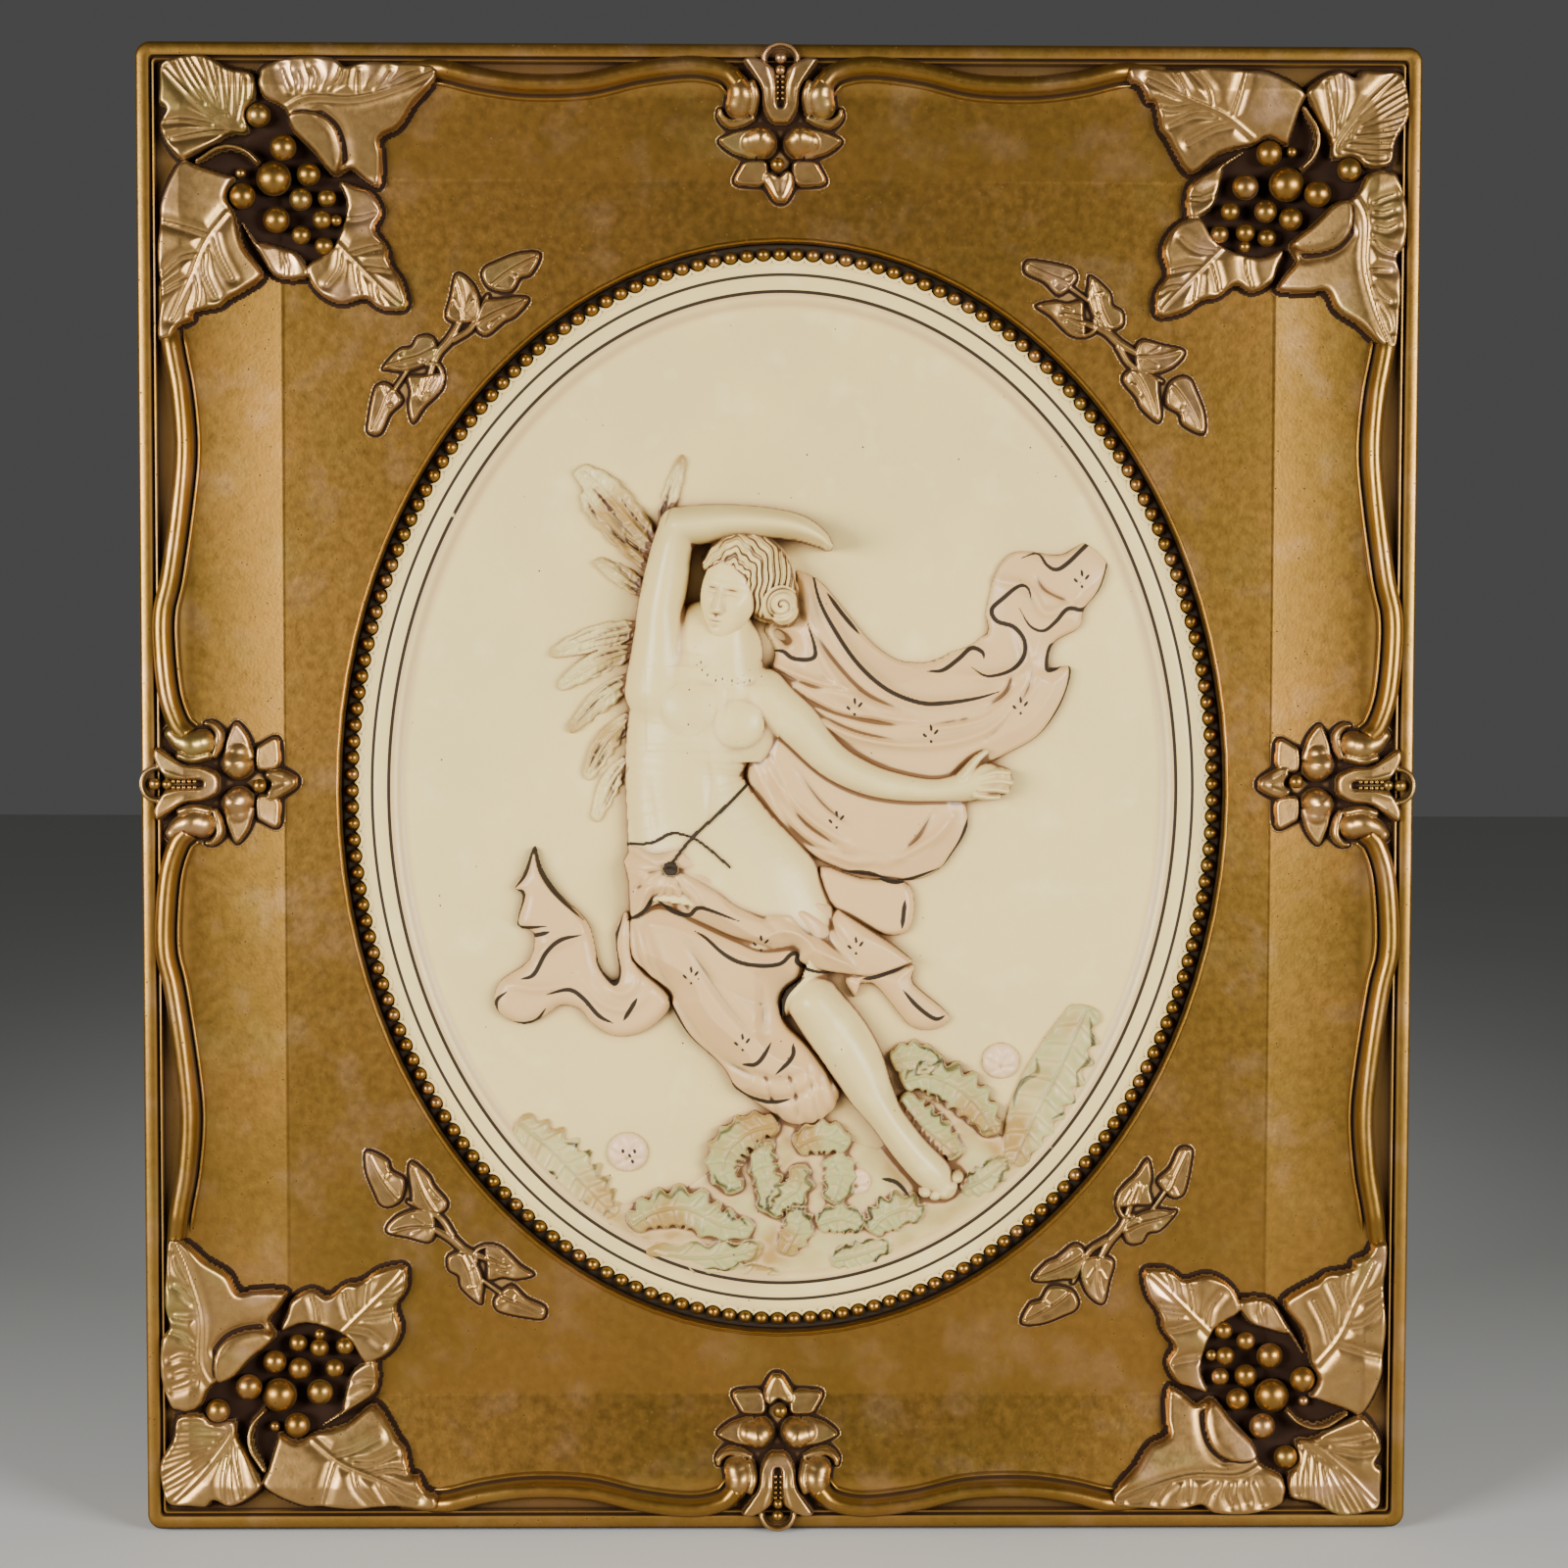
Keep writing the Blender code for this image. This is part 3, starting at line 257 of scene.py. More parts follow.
rings = [at_level(frame_line(inset, inset, radius), level) for inset, level, radius, _ in RIM_LINES]
for share in (0.1, 0.2, 0.3, 0.4, 0.5, 0.6, 0.7, 0.8, 0.9, 0.95, 0.98, 1.0):
    side = BAND_START + share * (CREASE_FROM_SIDE - BAND_START)
    end = BAND_START + share * (CREASE_FROM_END - BAND_START)
    level = PANEL_LEVEL + (STRIP_LEVEL - PANEL_LEVEL) * (1 - share**BAND_HOLLOW)
    rings.append(at_level(frame_line(side, end, 0.0016 + share * (CREASE_CORNER - 0.0016)), level))
crease = frame_line(CREASE_FROM_SIDE, CREASE_FROM_END, CREASE_CORNER)
angles = np.arctan2((crease[:, 1] - OVAL_RISE) / BEAD_RING_HALF_HEIGHT,
                    (crease[:, 0] - OVAL_SHIFT) / BEAD_RING_HALF_WIDTH)
lip = oval_line(SIGHT_MARGIN + LIP_WIDTH, angles)
for share in (0.02, 0.05, 0.1, 0.25, 0.45, 0.7, 0.9, 1.0):
    rings.append(at_level(crease + share * (lip - crease), PANEL_LEVEL))
LIP_LINES = [(0.0010, 0.0238), (0.0005, 0.0240), (0.0001, 0.0237), (0.0000, 0.0230), (0.0000, 0.0063)]
for margin, level in LIP_LINES:
    rings.append(at_level(oval_line(SIGHT_MARGIN + margin, angles), level))
for margin, level in ((REBATE_WIDTH, REBATE_LEVEL), (REBATE_WIDTH, 0.0)):
    rings.append(at_level(oval_line(SIGHT_MARGIN + margin, angles), level))

# Brown dirt and painted shade on the field: in the stored rim grooves, and where the surface is closed in.
frame_gold = old_gold("old_gold_field", lambda gold: gold.sums(
    "MAXIMUM", gold.stored("dirt_and_shade"), gold.ramp(gold.nook(0.007), 0.18, 0.75)), 0.15)
rim_dirt_and_shade = [dirt_and_shade for _, _, _, dirt_and_shade in RIM_LINES]
dirt_and_shade = np.zeros((len(rings), len(rings[0])))
dirt_and_shade[:len(rim_dirt_and_shade)] = np.array(rim_dirt_and_shade)[:, None]
piece_of("frame_body", swept(rings, {"dirt_and_shade": dirt_and_shade}, joined=True), frame_gold, "frame", sharp=50)


# Rods. A round moulding runs along each half side, from under the corner leaves to the scrolls of
# the rosette, with a thin fillet on its inner side. Cast with the frame and rubbed bright on top.

# The share of the way from the corner to the middle, and the inset from the edge
ROD_ON_END = [(0.40, 0.0078), (0.47, 0.0086), (0.535, 0.0117), (0.61, 0.0135), (0.70, 0.0128),
              (0.78, 0.0090), (0.86, 0.0070), (0.912, 0.0090), (0.935, 0.0135)]
ROD_ON_SIDE = [(0.33, 0.0080), (0.39, 0.0103), (0.43, 0.0119), (0.48, 0.0140), (0.55, 0.0152),
               (0.62, 0.0137), (0.72, 0.0102), (0.77, 0.0075), (0.82, 0.0074), (0.88, 0.0089),
               (0.92, 0.0121), (0.935, 0.0153)]
SIDE_RISE = 0.0037
ROD_SINK = 0.0045
ROD_SINK_SHARE = 0.14
# Across the moulding, as seen along it: offset towards the frame's middle, level, and share of brown dirt and
# painted shade
ROD_SECTION = [
    (-0.0040, 0.0300, 1.0), (-0.0036, 0.0334, 1.0), (-0.0032, 0.0343, 0.8), (-0.0030, 0.0356, 0.3),
    (-0.0024, 0.0372, 0.0), (-0.0015, 0.0382, 0.0), (-0.0005, 0.0386, 0.0), (0.0005, 0.0386, 0.0),
    (0.0015, 0.0382, 0.0), (0.0024, 0.0372, 0.0), (0.0030, 0.0356, 0.3), (0.0032, 0.0345, 0.9),
    (0.0036, 0.0338, 1.0), (0.0040, 0.0339, 0.9), (0.0043, 0.0347, 0.2), (0.0047, 0.0350, 0.0),
    (0.0051, 0.0346, 0.1), (0.0056, 0.0330, 0.3), (0.0056, 0.0290, 1.0),
]


def through(points, spans=5, closed=False):
    """A smooth curve through rows of x, z and any further values."""
    p = np.asarray(points, float)
    if closed:
        p = np.vstack([p[-1:], p, p[:2]])
    else:
        p = np.vstack([2 * p[0] - p[1], p, 2 * p[-1] - p[-2]])
    t = np.linspace(0, 1, spans, endpoint=False)[:, None]
    runs = [
        0.5 * (2 * b + (c - a) * t + (2 * a - 5 * b + 4 * c - d) * t**2 + (3 * b - a - 3 * c + d) * t**3)
        for a, b, c, d in zip(p, p[1:], p[2:], p[3:])
    ]
    return np.vstack([*runs, p[-2][None]])


def band_level(x, z):
    """The frame's own surface: the sunk strip, the sloping band and the panel."""
    band_x = (np.abs(x) - FRAME_WIDTH / 2 + CREASE_FROM_SIDE) / (CREASE_FROM_SIDE - BAND_START)
    band_z = (np.abs(z) - FRAME_HEIGHT / 2 + CREASE_FROM_END) / (CREASE_FROM_END - BAND_START)
    band = np.maximum(band_x, 0) ** CREASE_SHARPNESS + np.maximum(band_z, 0) ** CREASE_SHARPNESS
    band = np.clip(band ** (1 / CREASE_SHARPNESS), 0, 1)
    return PANEL_LEVEL + (STRIP_LEVEL - PANEL_LEVEL) * (1 - (1 - band) ** BAND_HOLLOW)


# Brown dirt and painted shade on the rods: in their stored grooves, and where they are closed in.
rod_gold = old_gold("old_gold_rods", lambda gold: gold.sums(
    "MAXIMUM", gold.stored("dirt_and_shade"), gold.ramp(gold.nook(0.004), 0.35, 0.9)), 0.2)
rod_section = np.array(ROD_SECTION)
for across in (1, -1):
    for up in (1, -1):
        on_end = [(across * FRAME_WIDTH / 2 * (1 - share), up * (FRAME_HEIGHT / 2 - inset))
                  for share, inset in ROD_ON_END]
        on_side = [(across * (FRAME_WIDTH / 2 - inset), SIDE_RISE + up * FRAME_HEIGHT / 2 * (1 - share))
                   for share, inset in ROD_ON_SIDE]
        for side, line in (("end", on_end), ("side", on_side)):
            path = through(line, spans=8)
            heading = np.gradient(path, axis=0)
            heading /= np.linalg.norm(heading, axis=1)[:, None]
            inward = np.stack([-heading[:, 1], heading[:, 0]], axis=1)
            inward *= -np.sign((inward * path).sum(axis=1))[:, None]
            spread = path[:, None] + rod_section[None, :, :1] * inward[:, None]
            level = np.broadcast_to(rod_section[:, 1], spread.shape[:2])
            level = level - (STRIP_LEVEL - band_level(spread[..., 0], spread[..., 1]))
            sunk = np.clip(1 - np.linspace(0, 1, len(path)) / ROD_SINK_SHARE, 0, 1)
            level = level - ROD_SINK * sunk[:, None]
            rings = np.dstack([spread[..., 0], -level, spread[..., 1]])
            dirt_and_shade = np.broadcast_to(rod_section[:, 2], spread.shape[:2])
            corner = ("top" if up > 0 else "foot", "right" if across > 0 else "left")
            place = "rod_{}_{}_{}".format(*corner, side)
            piece_of(place, swept(rings, {"dirt_and_shade": dirt_and_shade}), rod_gold, "frame")


# Corner clusters. Five vine leaves around a bunch of berries, one casting with the frame, laid at
# each corner and turned by a quarter. Pale gold on the raised parts, almost black between berries
# with brown dirt and painted shade.

CARVING_PITCH = 0.00054
CORNER_REACH = 0.0995
CARVING_ROOT = 0.0150
LEAF_RISE = 0.0052
LEAF_PUFF = 0.0014
FOLD_RISE = 1.5 * LEAF_RISE
BED_RISE = 0.0008
BED_EDGE = 0.001
BERRY_LIFT = 1.1
FOOT_SLOPE = 5.0
VEIN_REACH = 0.020
FAR_BELOW = -0.050
CORNER_SHEET_ORIGIN = (-64, -27)
CORNER_SHEET_REACH = 1545
CORNER_LEAVES = [
    [(70, 100), (130, 60), (290, 42), (420, 110), (545, 140), (558, 255), (505, 330), (510, 430),
     (410, 450), (330, 510), (240, 560), (170, 585), (90, 490), (62, 400), (95, 330), (60, 290), (65, 190)],
    [(575, 150), (600, 100), (760, 50), (950, 55), (1020, 98), (1130, 75), (1290, 80), (1500, 105),
     (1450, 210), (1370, 290), (1290, 400), (1190, 455), (1195, 540), (1175, 690), (1100, 665), (1025, 610),
     (940, 645), (860, 540), (740, 420), (700, 320), (600, 265), (570, 200)],
    [(185, 580), (260, 605), (400, 645), (440, 665), (400, 760), (440, 850), (480, 1010), (575, 1150),
     (480, 1240), (400, 1290), (350, 1330), (235, 1360), (225, 1400), (150, 1440), (120, 1500), (45, 1490),
     (60, 1270), (45, 1060), (60, 900), (65, 800), (120, 660)],
    [(960, 665), (1060, 690), (1135, 720), (1185, 820), (1150, 910), (1210, 1000), (1230, 1090),
     (1290, 1180), (1310, 1320), (1180, 1325), (1090, 1270), (970, 1300), (860, 1250), (800, 1165),
     (800, 1090), (930, 1000), (1000, 800)],
    [(455, 870), (545, 985), (650, 1000), (760, 1045), (810, 1160), (640, 1165), (560, 1060)],
]
CORNER_VEINS = [
    [[(540, 462), (430, 415), (330, 345), (240, 270), (160, 190), (100, 125)],
     [(300, 300), (210, 170), (160, 80)], [(350, 290), (270, 150), (215, 60)],
     [(370, 300), (330, 150), (300, 60)], [(400, 320), (390, 180), (370, 80)],
     [(440, 350), (450, 220), (450, 140)], [(470, 380), (500, 270), (510, 170)],
     [(400, 430), (300, 440), (130, 480)], [(330, 400), (200, 380), (90, 390)]],
    [[(700, 318), (830, 262), (1080, 262), (1330, 195), (1490, 125)], [(740, 225), (720, 180), (700, 120)],
     [(790, 225), (795, 180), (780, 130)], [(870, 215), (880, 160), (860, 110)],
     [(940, 225), (985, 170), (1010, 90)], [(1085, 235), (1085, 180), (1090, 130)],
     [(1170, 225), (1220, 180), (1250, 130)], [(1250, 205), (1330, 150), (1400, 130)],
     [(900, 345), (960, 400), (990, 470), (1000, 560)]],
    [[(400, 845), (290, 1000), (210, 1200), (120, 1400)], [(330, 950), (360, 1060), (420, 1180)],
     [(290, 1060), (290, 1160), (340, 1280)], [(240, 1150), (260, 1260), (240, 1350)],
     [(300, 960), (200, 930), (80, 900)], [(260, 1060), (160, 1090), (60, 1180)],
     [(210, 1190), (130, 1230), (60, 1270)]],
    [[(940, 970), (1070, 1100), (1230, 1260), (1300, 1315)], [(1020, 1040), (1120, 1010), (1180, 1000)],
     [(1080, 1110), (1180, 1120), (1230, 1130)], [(980, 1010), (960, 1120), (900, 1200)],
     [(1050, 1090), (1060, 1180), (1080, 1260)], [(1150, 1180), (1160, 1260), (1190, 1310)],
     [(1020, 860), (1090, 850), (1150, 830)]],
    [[(650, 1000), (690, 1080), (700, 1150)]],
]
CORNER_FOLD = [(720, 350), (800, 325), (900, 345), (975, 420), (1000, 560), (940, 645), (840, 530),
               (740, 430)]
CORNER_BERRIES = [
    (565, 345, 64, 6.0), (687, 505, 70, 8.5), (810, 635, 62, 8.0), (632, 660, 92, 10.0),
    (475, 755, 68, 7.5), (770, 765, 60, 8.5), (903, 755, 48, 7.0), (643, 870, 70, 8.5), (878, 868, 50, 7.5),
    (770, 948, 50, 7.5), (885, 1000, 48, 6.5), (465, 635, 28, 4.5), (950, 870, 30, 6.0),
]
CORNER_BED = [(540, 280), (680, 300), (860, 560), (1000, 700), (990, 880), (860, 1120), (640, 1100),
              (440, 880), (400, 740), (260, 570), (480, 470)]
CORNER_TENDRIL = [(255, 590, 14, 6.2), (300, 560, 15, 7.0), (360, 522, 17, 7.8), (430, 510, 18, 8.2),
                  (500, 532, 17, 8.0), (552, 580, 15, 7.2)]
CORNER_HOLLOW = [(270, 600), (330, 555), (430, 535), (500, 560), (520, 620), (480, 660), (400, 640),
                 (320, 615)]
CORNER_BUDS = [
    [(545, 985), (560, 1060), (600, 1120), (640, 1160), (680, 1150), (700, 1090), (710, 1040), (700, 1020),
     (650, 1000)],
    [(700, 1170), (760, 1165), (810, 1160), (800, 1100), (760, 1050), (720, 1040)],
]


def smooth_max(a, b, blend):
    return 0.5 * (a + b + np.sqrt((a - b) ** 2 + blend**2))


def soften(values, reach):
    """Values averaged over squares that reach this many points each way, three times over."""
    for _ in range(3):
        for axis in (0, 1):
            wide = [(0, 0), (0, 0)]
            wide[axis] = (reach + 1, reach)
            total = np.cumsum(np.pad(values, wide, mode="edge"), axis=axis)
            width = 2 * reach + 1
            high = np.take(total, range(width, total.shape[axis]), axis)
            low = np.take(total, range(total.shape[axis] - width), axis)
            values = (high - low) / width
    return values


class Carving:
    """Heights over a plain ground, seen from the front, and the tools that carve them."""

    def __init__(self, low, high, pitch):
        (left, foot), (right, top) = low, high
        self.pitch = pitch
        self.x = np.linspace(left, right, round((right - left) / pitch) + 1)
        self.z = np.linspace(foot, top, round((top - foot) / pitch) + 1)

    def blank(self, value=FAR_BELOW):
        return np.full((len(self.z), len(self.x)), value)

    def near(self, path, reach):
        """Around a path: which points of the grid, how far each is from the path, and how far along."""
        low = path[:, :2].min(axis=0) - reach
        high = path[:, :2].max(axis=0) + reach
        columns = slice(*np.searchsorted(self.x, (low[0], high[0])))
        rows = slice(*np.searchsorted(self.z, (low[1], high[1])))
        x, z = np.meshgrid(self.x[columns], self.z[rows])
        distance = np.full(x.shape, np.inf)
        along = np.zeros(x.shape)
        for i, (a, b) in enumerate(zip(path[:, :2], path[1:, :2])):
            run = b - a
            length = max(run @ run, 1e-14)
            t = np.clip(((x - a[0]) * run[0] + (z - a[1]) * run[1]) / length, 0, 1)
            d = np.hypot(x - a[0] - t * run[0], z - a[1] - t * run[1])
            nearer = d < distance
            distance[nearer] = d[nearer]
            along[nearer] = i + t[nearer]
        return (rows, columns), x, z, distance, along

    def limb(self, heights, points, blend=0.0, base=0.0, slope=FOOT_SLOPE):
        """A round body along a path whose rows hold x, z, radius and height above the ground."""
        path = through(points)
        spot, _, _, distance, along = self.near(path, 1.6 * path[:, 2].max())
        steps = np.arange(len(path))
        radius = np.interp(along, steps, path[:, 2])
        top = np.interp(along, steps, path[:, 3]) - base
        share = np.minimum(distance / radius, 1)
        body = base + top * np.sqrt(1 - share**2) - slope * np.maximum(distance - radius, 0)
        heights[spot] = smooth_max(heights[spot], body, blend)

    def inner_distance(self, outline, spans=5, reach=0.006):
        """How far inside a closed outline each point of the grid around it lies."""
        path = through(outline, spans, closed=True)
        spot, x, z, distance, _ = self.near(path, reach)
        inside = np.zeros(x.shape, bool)
        for (ax, az), (bx, bz) in zip(path[:, :2], path[1:, :2]):
            if az != bz:
                inside ^= ((az > z) != (bz > z)) & (x < ax + (z - az) * (bx - ax) / (bz - az))
        return spot, np.where(inside, distance, -distance)

    def pad(self, heights, outline, rise, edge, spans=3, slope=FOOT_SLOPE):
        """A raised shape of even height with a rounded edge."""
        spot, depth = self.inner_distance(outline, spans)
        share = np.clip(depth / edge, 0, 1)
        body = rise * np.sqrt(1 - (1 - share) ** 2) + slope * np.minimum(depth, 0)
        heights[spot] = np.maximum(heights[spot], body)

    def cloth(self, heights, body, outline, edge_rise, slope):
        """Cloth that lies over a body inside an outline and drops to the ground along its hem."""
        spot, depth = self.inner_distance(outline)
        turned = edge_rise * np.minimum(depth / 0.0012, 1) + slope * depth
        hem = np.where(depth > 0, turned, FOOT_SLOPE * depth)
        heights[spot] = np.maximum(heights[spot], np.minimum(body[spot], hem))

    def line(self, heights, points, width, rise, floor=0.0):
        """A raised or sunk line that fades at both ends, only where there is something to carve."""
        path = through(points)
        spot, _, _, distance, along = self.near(path, 3 * width)
        fade = np.sin(np.pi * np.clip(along / (len(path) - 1), 0.03, 0.97)) ** 0.5
        carved = heights[spot] + rise * fade * np.exp(-((distance / width) ** 2))
        heights[spot] = np.where(heights[spot] > floor, carved, heights[spot])

    def stroke(self, paint, points, width, taper=0.25):
        """A brush stroke of full colour with soft edges, thinning towards its two ends."""
        path = through(points)
        spot, _, _, distance, along = self.near(path, 2 * width)
        share = np.clip(along / (len(path) - 1), 0.02, 0.98)
        half = 0.5 * width * np.minimum(1, (np.minimum(share, 1 - share) / taper) ** 0.5)
        ink = np.clip((half - distance) / self.pitch + 0.5, 0, 1)
        paint[spot] = np.maximum(paint[spot], ink)

    def leaf(self, heights, outline, veins, rise, puff, rim=0.0004, vein_width=0.0006):
        """A leaf with a lifted edge, its midrib and side veins raised, and the flesh between them puffed."""
        spot, depth = self.inner_distance(outline, 4)
        share = np.clip(depth / 0.0018, 0, 1)
        body = rise * np.sqrt(1 - (1 - share) ** 2) + FOOT_SLOPE * np.minimum(depth, 0)
        body += rim * np.exp(-(((depth - 0.0008) / 0.0005) ** 2))
        if veins:
            away = self.blank(np.inf)
            ribs = self.blank(0.0)
            for i, vein in enumerate(veins):
                path = through(vein)
                there, _, _, distance, along = self.near(path, VEIN_REACH)
                away[there] = np.minimum(away[there], distance)
                width = vein_width * (1.5 if i == 0 else 1.0) * (1.2 - 0.7 * along / (len(path) - 1))
                crest = np.exp(-((distance / width) ** 2)) * (1.4 if i == 0 else 1.0)
                ribs[there] = np.maximum(ribs[there], crest)
            swell = 1 - np.exp(-((np.minimum(away[spot], VEIN_REACH / 2) / 0.0022) ** 2))
            body = body + share * (puff * (swell - 0.7) + 0.0008 * ribs[spot])
        heights[spot] = np.maximum(heights[spot], body)

    def frond(self, heights, spine, half_width, lobes, rise, notch=0.38, rim=0.0005):
        """A leaf along a spine with lobed edges, a vein out to each lobe and its rim turned up."""
        path = through(spine, 12)
        heading = np.gradient(path, axis=0)
        side = np.stack([-heading[:, 1], heading[:, 0]], axis=1) / np.linalg.norm(heading, axis=1)[:, None]
        share = np.linspace(0, 1, len(path))
        swell = np.sin(np.pi * (0.06 + 0.90 * share)) ** 0.55
        scallop = 1 - notch + notch * np.abs(np.sin(np.pi * lobes * share))
        reach = (half_width * swell * scallop)[:, None] * side
        outline = np.vstack([path + reach, (path - reach)[::-1]])
        veins = [path[::6]]
        for tip in (np.arange(lobes) + 0.5) / lobes:
            root = min(round((tip - 0.4 / lobes) * (len(path) - 1)), len(path) - 1)
            out = round(tip * (len(path) - 1))
            for turn in (0.85, -0.85):
                veins.append([path[max(root, 0)], path[out] + turn * reach[out]])
        self.leaf(heights, outline[::2], veins, rise, 0.0006, rim, 0.0004)
        return outline


def on_plan(points, origin, unit, at=(0.0, 0.0), turns=0):
    """Points drawn on a sheet, y down, set on the plaque and turned clockwise by quarter turns.

    A third value is a radius on the sheet, and a fourth a height in millimetres.
    """
    p = np.array(points, float)
    x = (p[:, 0] - origin[0]) * unit
    z = (origin[1] - p[:, 1]) * unit
    for _ in range(turns):
        x, z = z, -x
    p[:, 0] = x + at[0]
    p[:, 1] = z + at[1]
    if p.shape[1] > 2:
        p[:, 2] *= unit
    if p.shape[1] > 3:
        p[:, 3] *= MM
    return p


def without_pinches(shown):
    """The shown cells with holes filled in, and with no two that touch at one corner alone."""
    outside = ~np.pad(shown, 1)
    reached = np.zeros(outside.shape, bool)
    reached[0, :] = True
    while True:
        spread = reached.copy()
        spread[1:] |= reached[:-1]
        spread[:-1] |= reached[1:]
        spread[:, 1:] |= reached[:, :-1]
        spread[:, :-1] |= reached[:, 1:]
        spread &= outside
        if (spread == reached).all():
            break
        reached = spread
    shown = ~reached[1:-1, 1:-1]
    while True:
        a, b, c, d = shown[:-1, :-1], shown[:-1, 1:], shown[1:, :-1], shown[1:, 1:]
        falling = a & d & ~b & ~c
        rising = b & c & ~a & ~d
        if not (falling | rising).any():
            return shown
        shown[:-1, 1:] |= falling
        shown[:-1, :-1] |= rising


def carved(carving, levels, shown, root, layers):
    """A closed body whose front follows the levels over the shown cells, down to a flat root."""
    rows = np.flatnonzero(shown.any(axis=1))
    columns = np.flatnonzero(shown.any(axis=0))
    box = (slice(rows[0], rows[-1] + 2), slice(columns[0], columns[-1] + 2))
    x_line, z_line = carving.x[box[1]], carving.z[box[0]]
    x, z = np.meshgrid(x_line, z_line)
    layers = {name: values[box] for name, values in layers.items()}
    body = grid_of(np.dstack([x, -levels[box], z]), layers)
    shown = without_pinches(shown[rows[0]:rows[-1] + 1, columns[0]:columns[-1] + 1])
    hidden = []
    for face in body.faces:
        middle = face.calc_center_median()
        column = int((middle.x - x_line[0]) / (x_line[1] - x_line[0]))
        row = int((middle.z - z_line[0]) / (z_line[1] - z_line[0]))
        if not shown[row, column]:
            hidden.append(face)
    bmesh.ops.delete(body, geom=hidden, context="FACES")
    made = bmesh.ops.extrude_edge_only(body, edges=[edge for edge in body.edges if edge.is_boundary])["geom"]
    for vert in made:
        if isinstance(vert, bmesh.types.BMVert):
            vert.co.y = -root
    bmesh.ops.holes_fill(body, edges=[edge for edge in body.edges if edge.is_boundary], sides=0)
    bmesh.ops.recalc_face_normals(body, faces=body.faces)
    return body


def cells_above(heights, floor):
    """The cells of a height map with any corner above this height."""
    high = heights > floor
    return high[:-1, :-1] | high[:-1, 1:] | high[1:, :-1] | high[1:, 1:]


def hollows(heights, pitch, fine=0.0006, broad=0.0018, depth=0.0006):
    """How deep each point lies below what is around it, from 0 to 1, where brown dirt and painted shade are
    laid.
    """
    near = soften(heights, max(1, round(fine / pitch))) - heights
    far = soften(heights, max(1, round(broad / pitch))) - heights
    return np.clip(near / depth, 0, 1) * 0.7 + np.clip(far / (2.5 * depth), 0, 1) * 0.7


def ornament_dirt_and_shade(nook_start):
    """Brown dirt and painted shade of the carved pieces: in their stored hollows, and in nooks from this
    depth on.
    """
    return lambda gold: gold.sums("MAXIMUM", gold.ramp(gold.stored("dirt_and_shade"), 0.12, 0.75),
                                  gold.ramp(gold.nook(0.004), nook_start, 0.95))


# Leaves and berries take brown dirt and painted shade in their hollows and nooks.
leaf_gold = old_gold("old_gold_leaves", ornament_dirt_and_shade(0.50), 0.6, 0.30)
berry_gold = old_gold("old_gold_berries", ornament_dirt_and_shade(0.45), 0.5, 0.05)
STAIN_AND_SHADE_WIDTH = 0.0009
STAIN_AND_SHADE_LIFT = 0.00012


def gold_carving(name, carving, lift):
    """A carved gold piece on the frame, with a dark line of brown stain and painted shade round its foot."""
    stain_and_shade_foot = -FOOT_SLOPE * STAIN_AND_SHADE_WIDTH
    ground = band_level(*np.meshgrid(carving.x, carving.z))
    # A dark line round the foot and a dark low bed, both brown stain and painted shade.
    edge = np.clip((lift - stain_and_shade_foot) / (-0.4 * stain_and_shade_foot), 0, 1)
    low = np.clip((0.0016 - lift) / 0.0007, 0, 1)
    dirt_and_shade = np.maximum(hollows(np.maximum(lift, 0), carving.pitch), 0.95 * low * edge)
    levels = ground + np.maximum(lift, STAIN_AND_SHADE_LIFT)
    body = carved(carving, levels, cells_above(lift, stain_and_shade_foot), CARVING_ROOT, {"dirt_and_shade": dirt_and_shade})
    return piece_of(name, body, leaf_gold, "frame")


def balls(spots, across, around):
    """Balls, each given as the x, level and z of its middle and its radius, darkened low down with brown dirt
    and painted shade.
    """
    ball = bmesh.new()
    dirt_and_shade_layer = ball.verts.layers.float.new("dirt_and_shade")
    for vert in bmesh.ops.create_uvsphere(ball, u_segments=across, v_segments=around, radius=1.0)["verts"]:
        vert.co = (vert.co.x, vert.co.z, -vert.co.y)
        vert[dirt_and_shade_layer] = np.clip((0.35 + vert.co.y) / 0.3, 0, 1)
    bmesh.ops.recalc_face_normals(ball, faces=ball.faces)
    mesh = bpy.data.meshes.new("ball")
    ball.to_mesh(mesh)
    ball.free()
    group = bmesh.new()
    for x, level, z, radius in spots:
        place = Matrix.Translation((x, -level, z)) @ Matrix.Scale(radius, 4)
        mesh.transform(place)
        group.from_mesh(mesh)
        mesh.transform(place.inverted())
    bpy.data.meshes.remove(mesh)
    return group


def gold_balls(name, spots):
    """Balls half sunk in the frame, each given as x, z, radius and the height of its top."""
    places = [(x, band_level(x, z) + rise - radius, z, radius) for x, z, radius, rise in spots]
    return piece_of(name, balls(places, 20, 12), berry_gold, "frame")


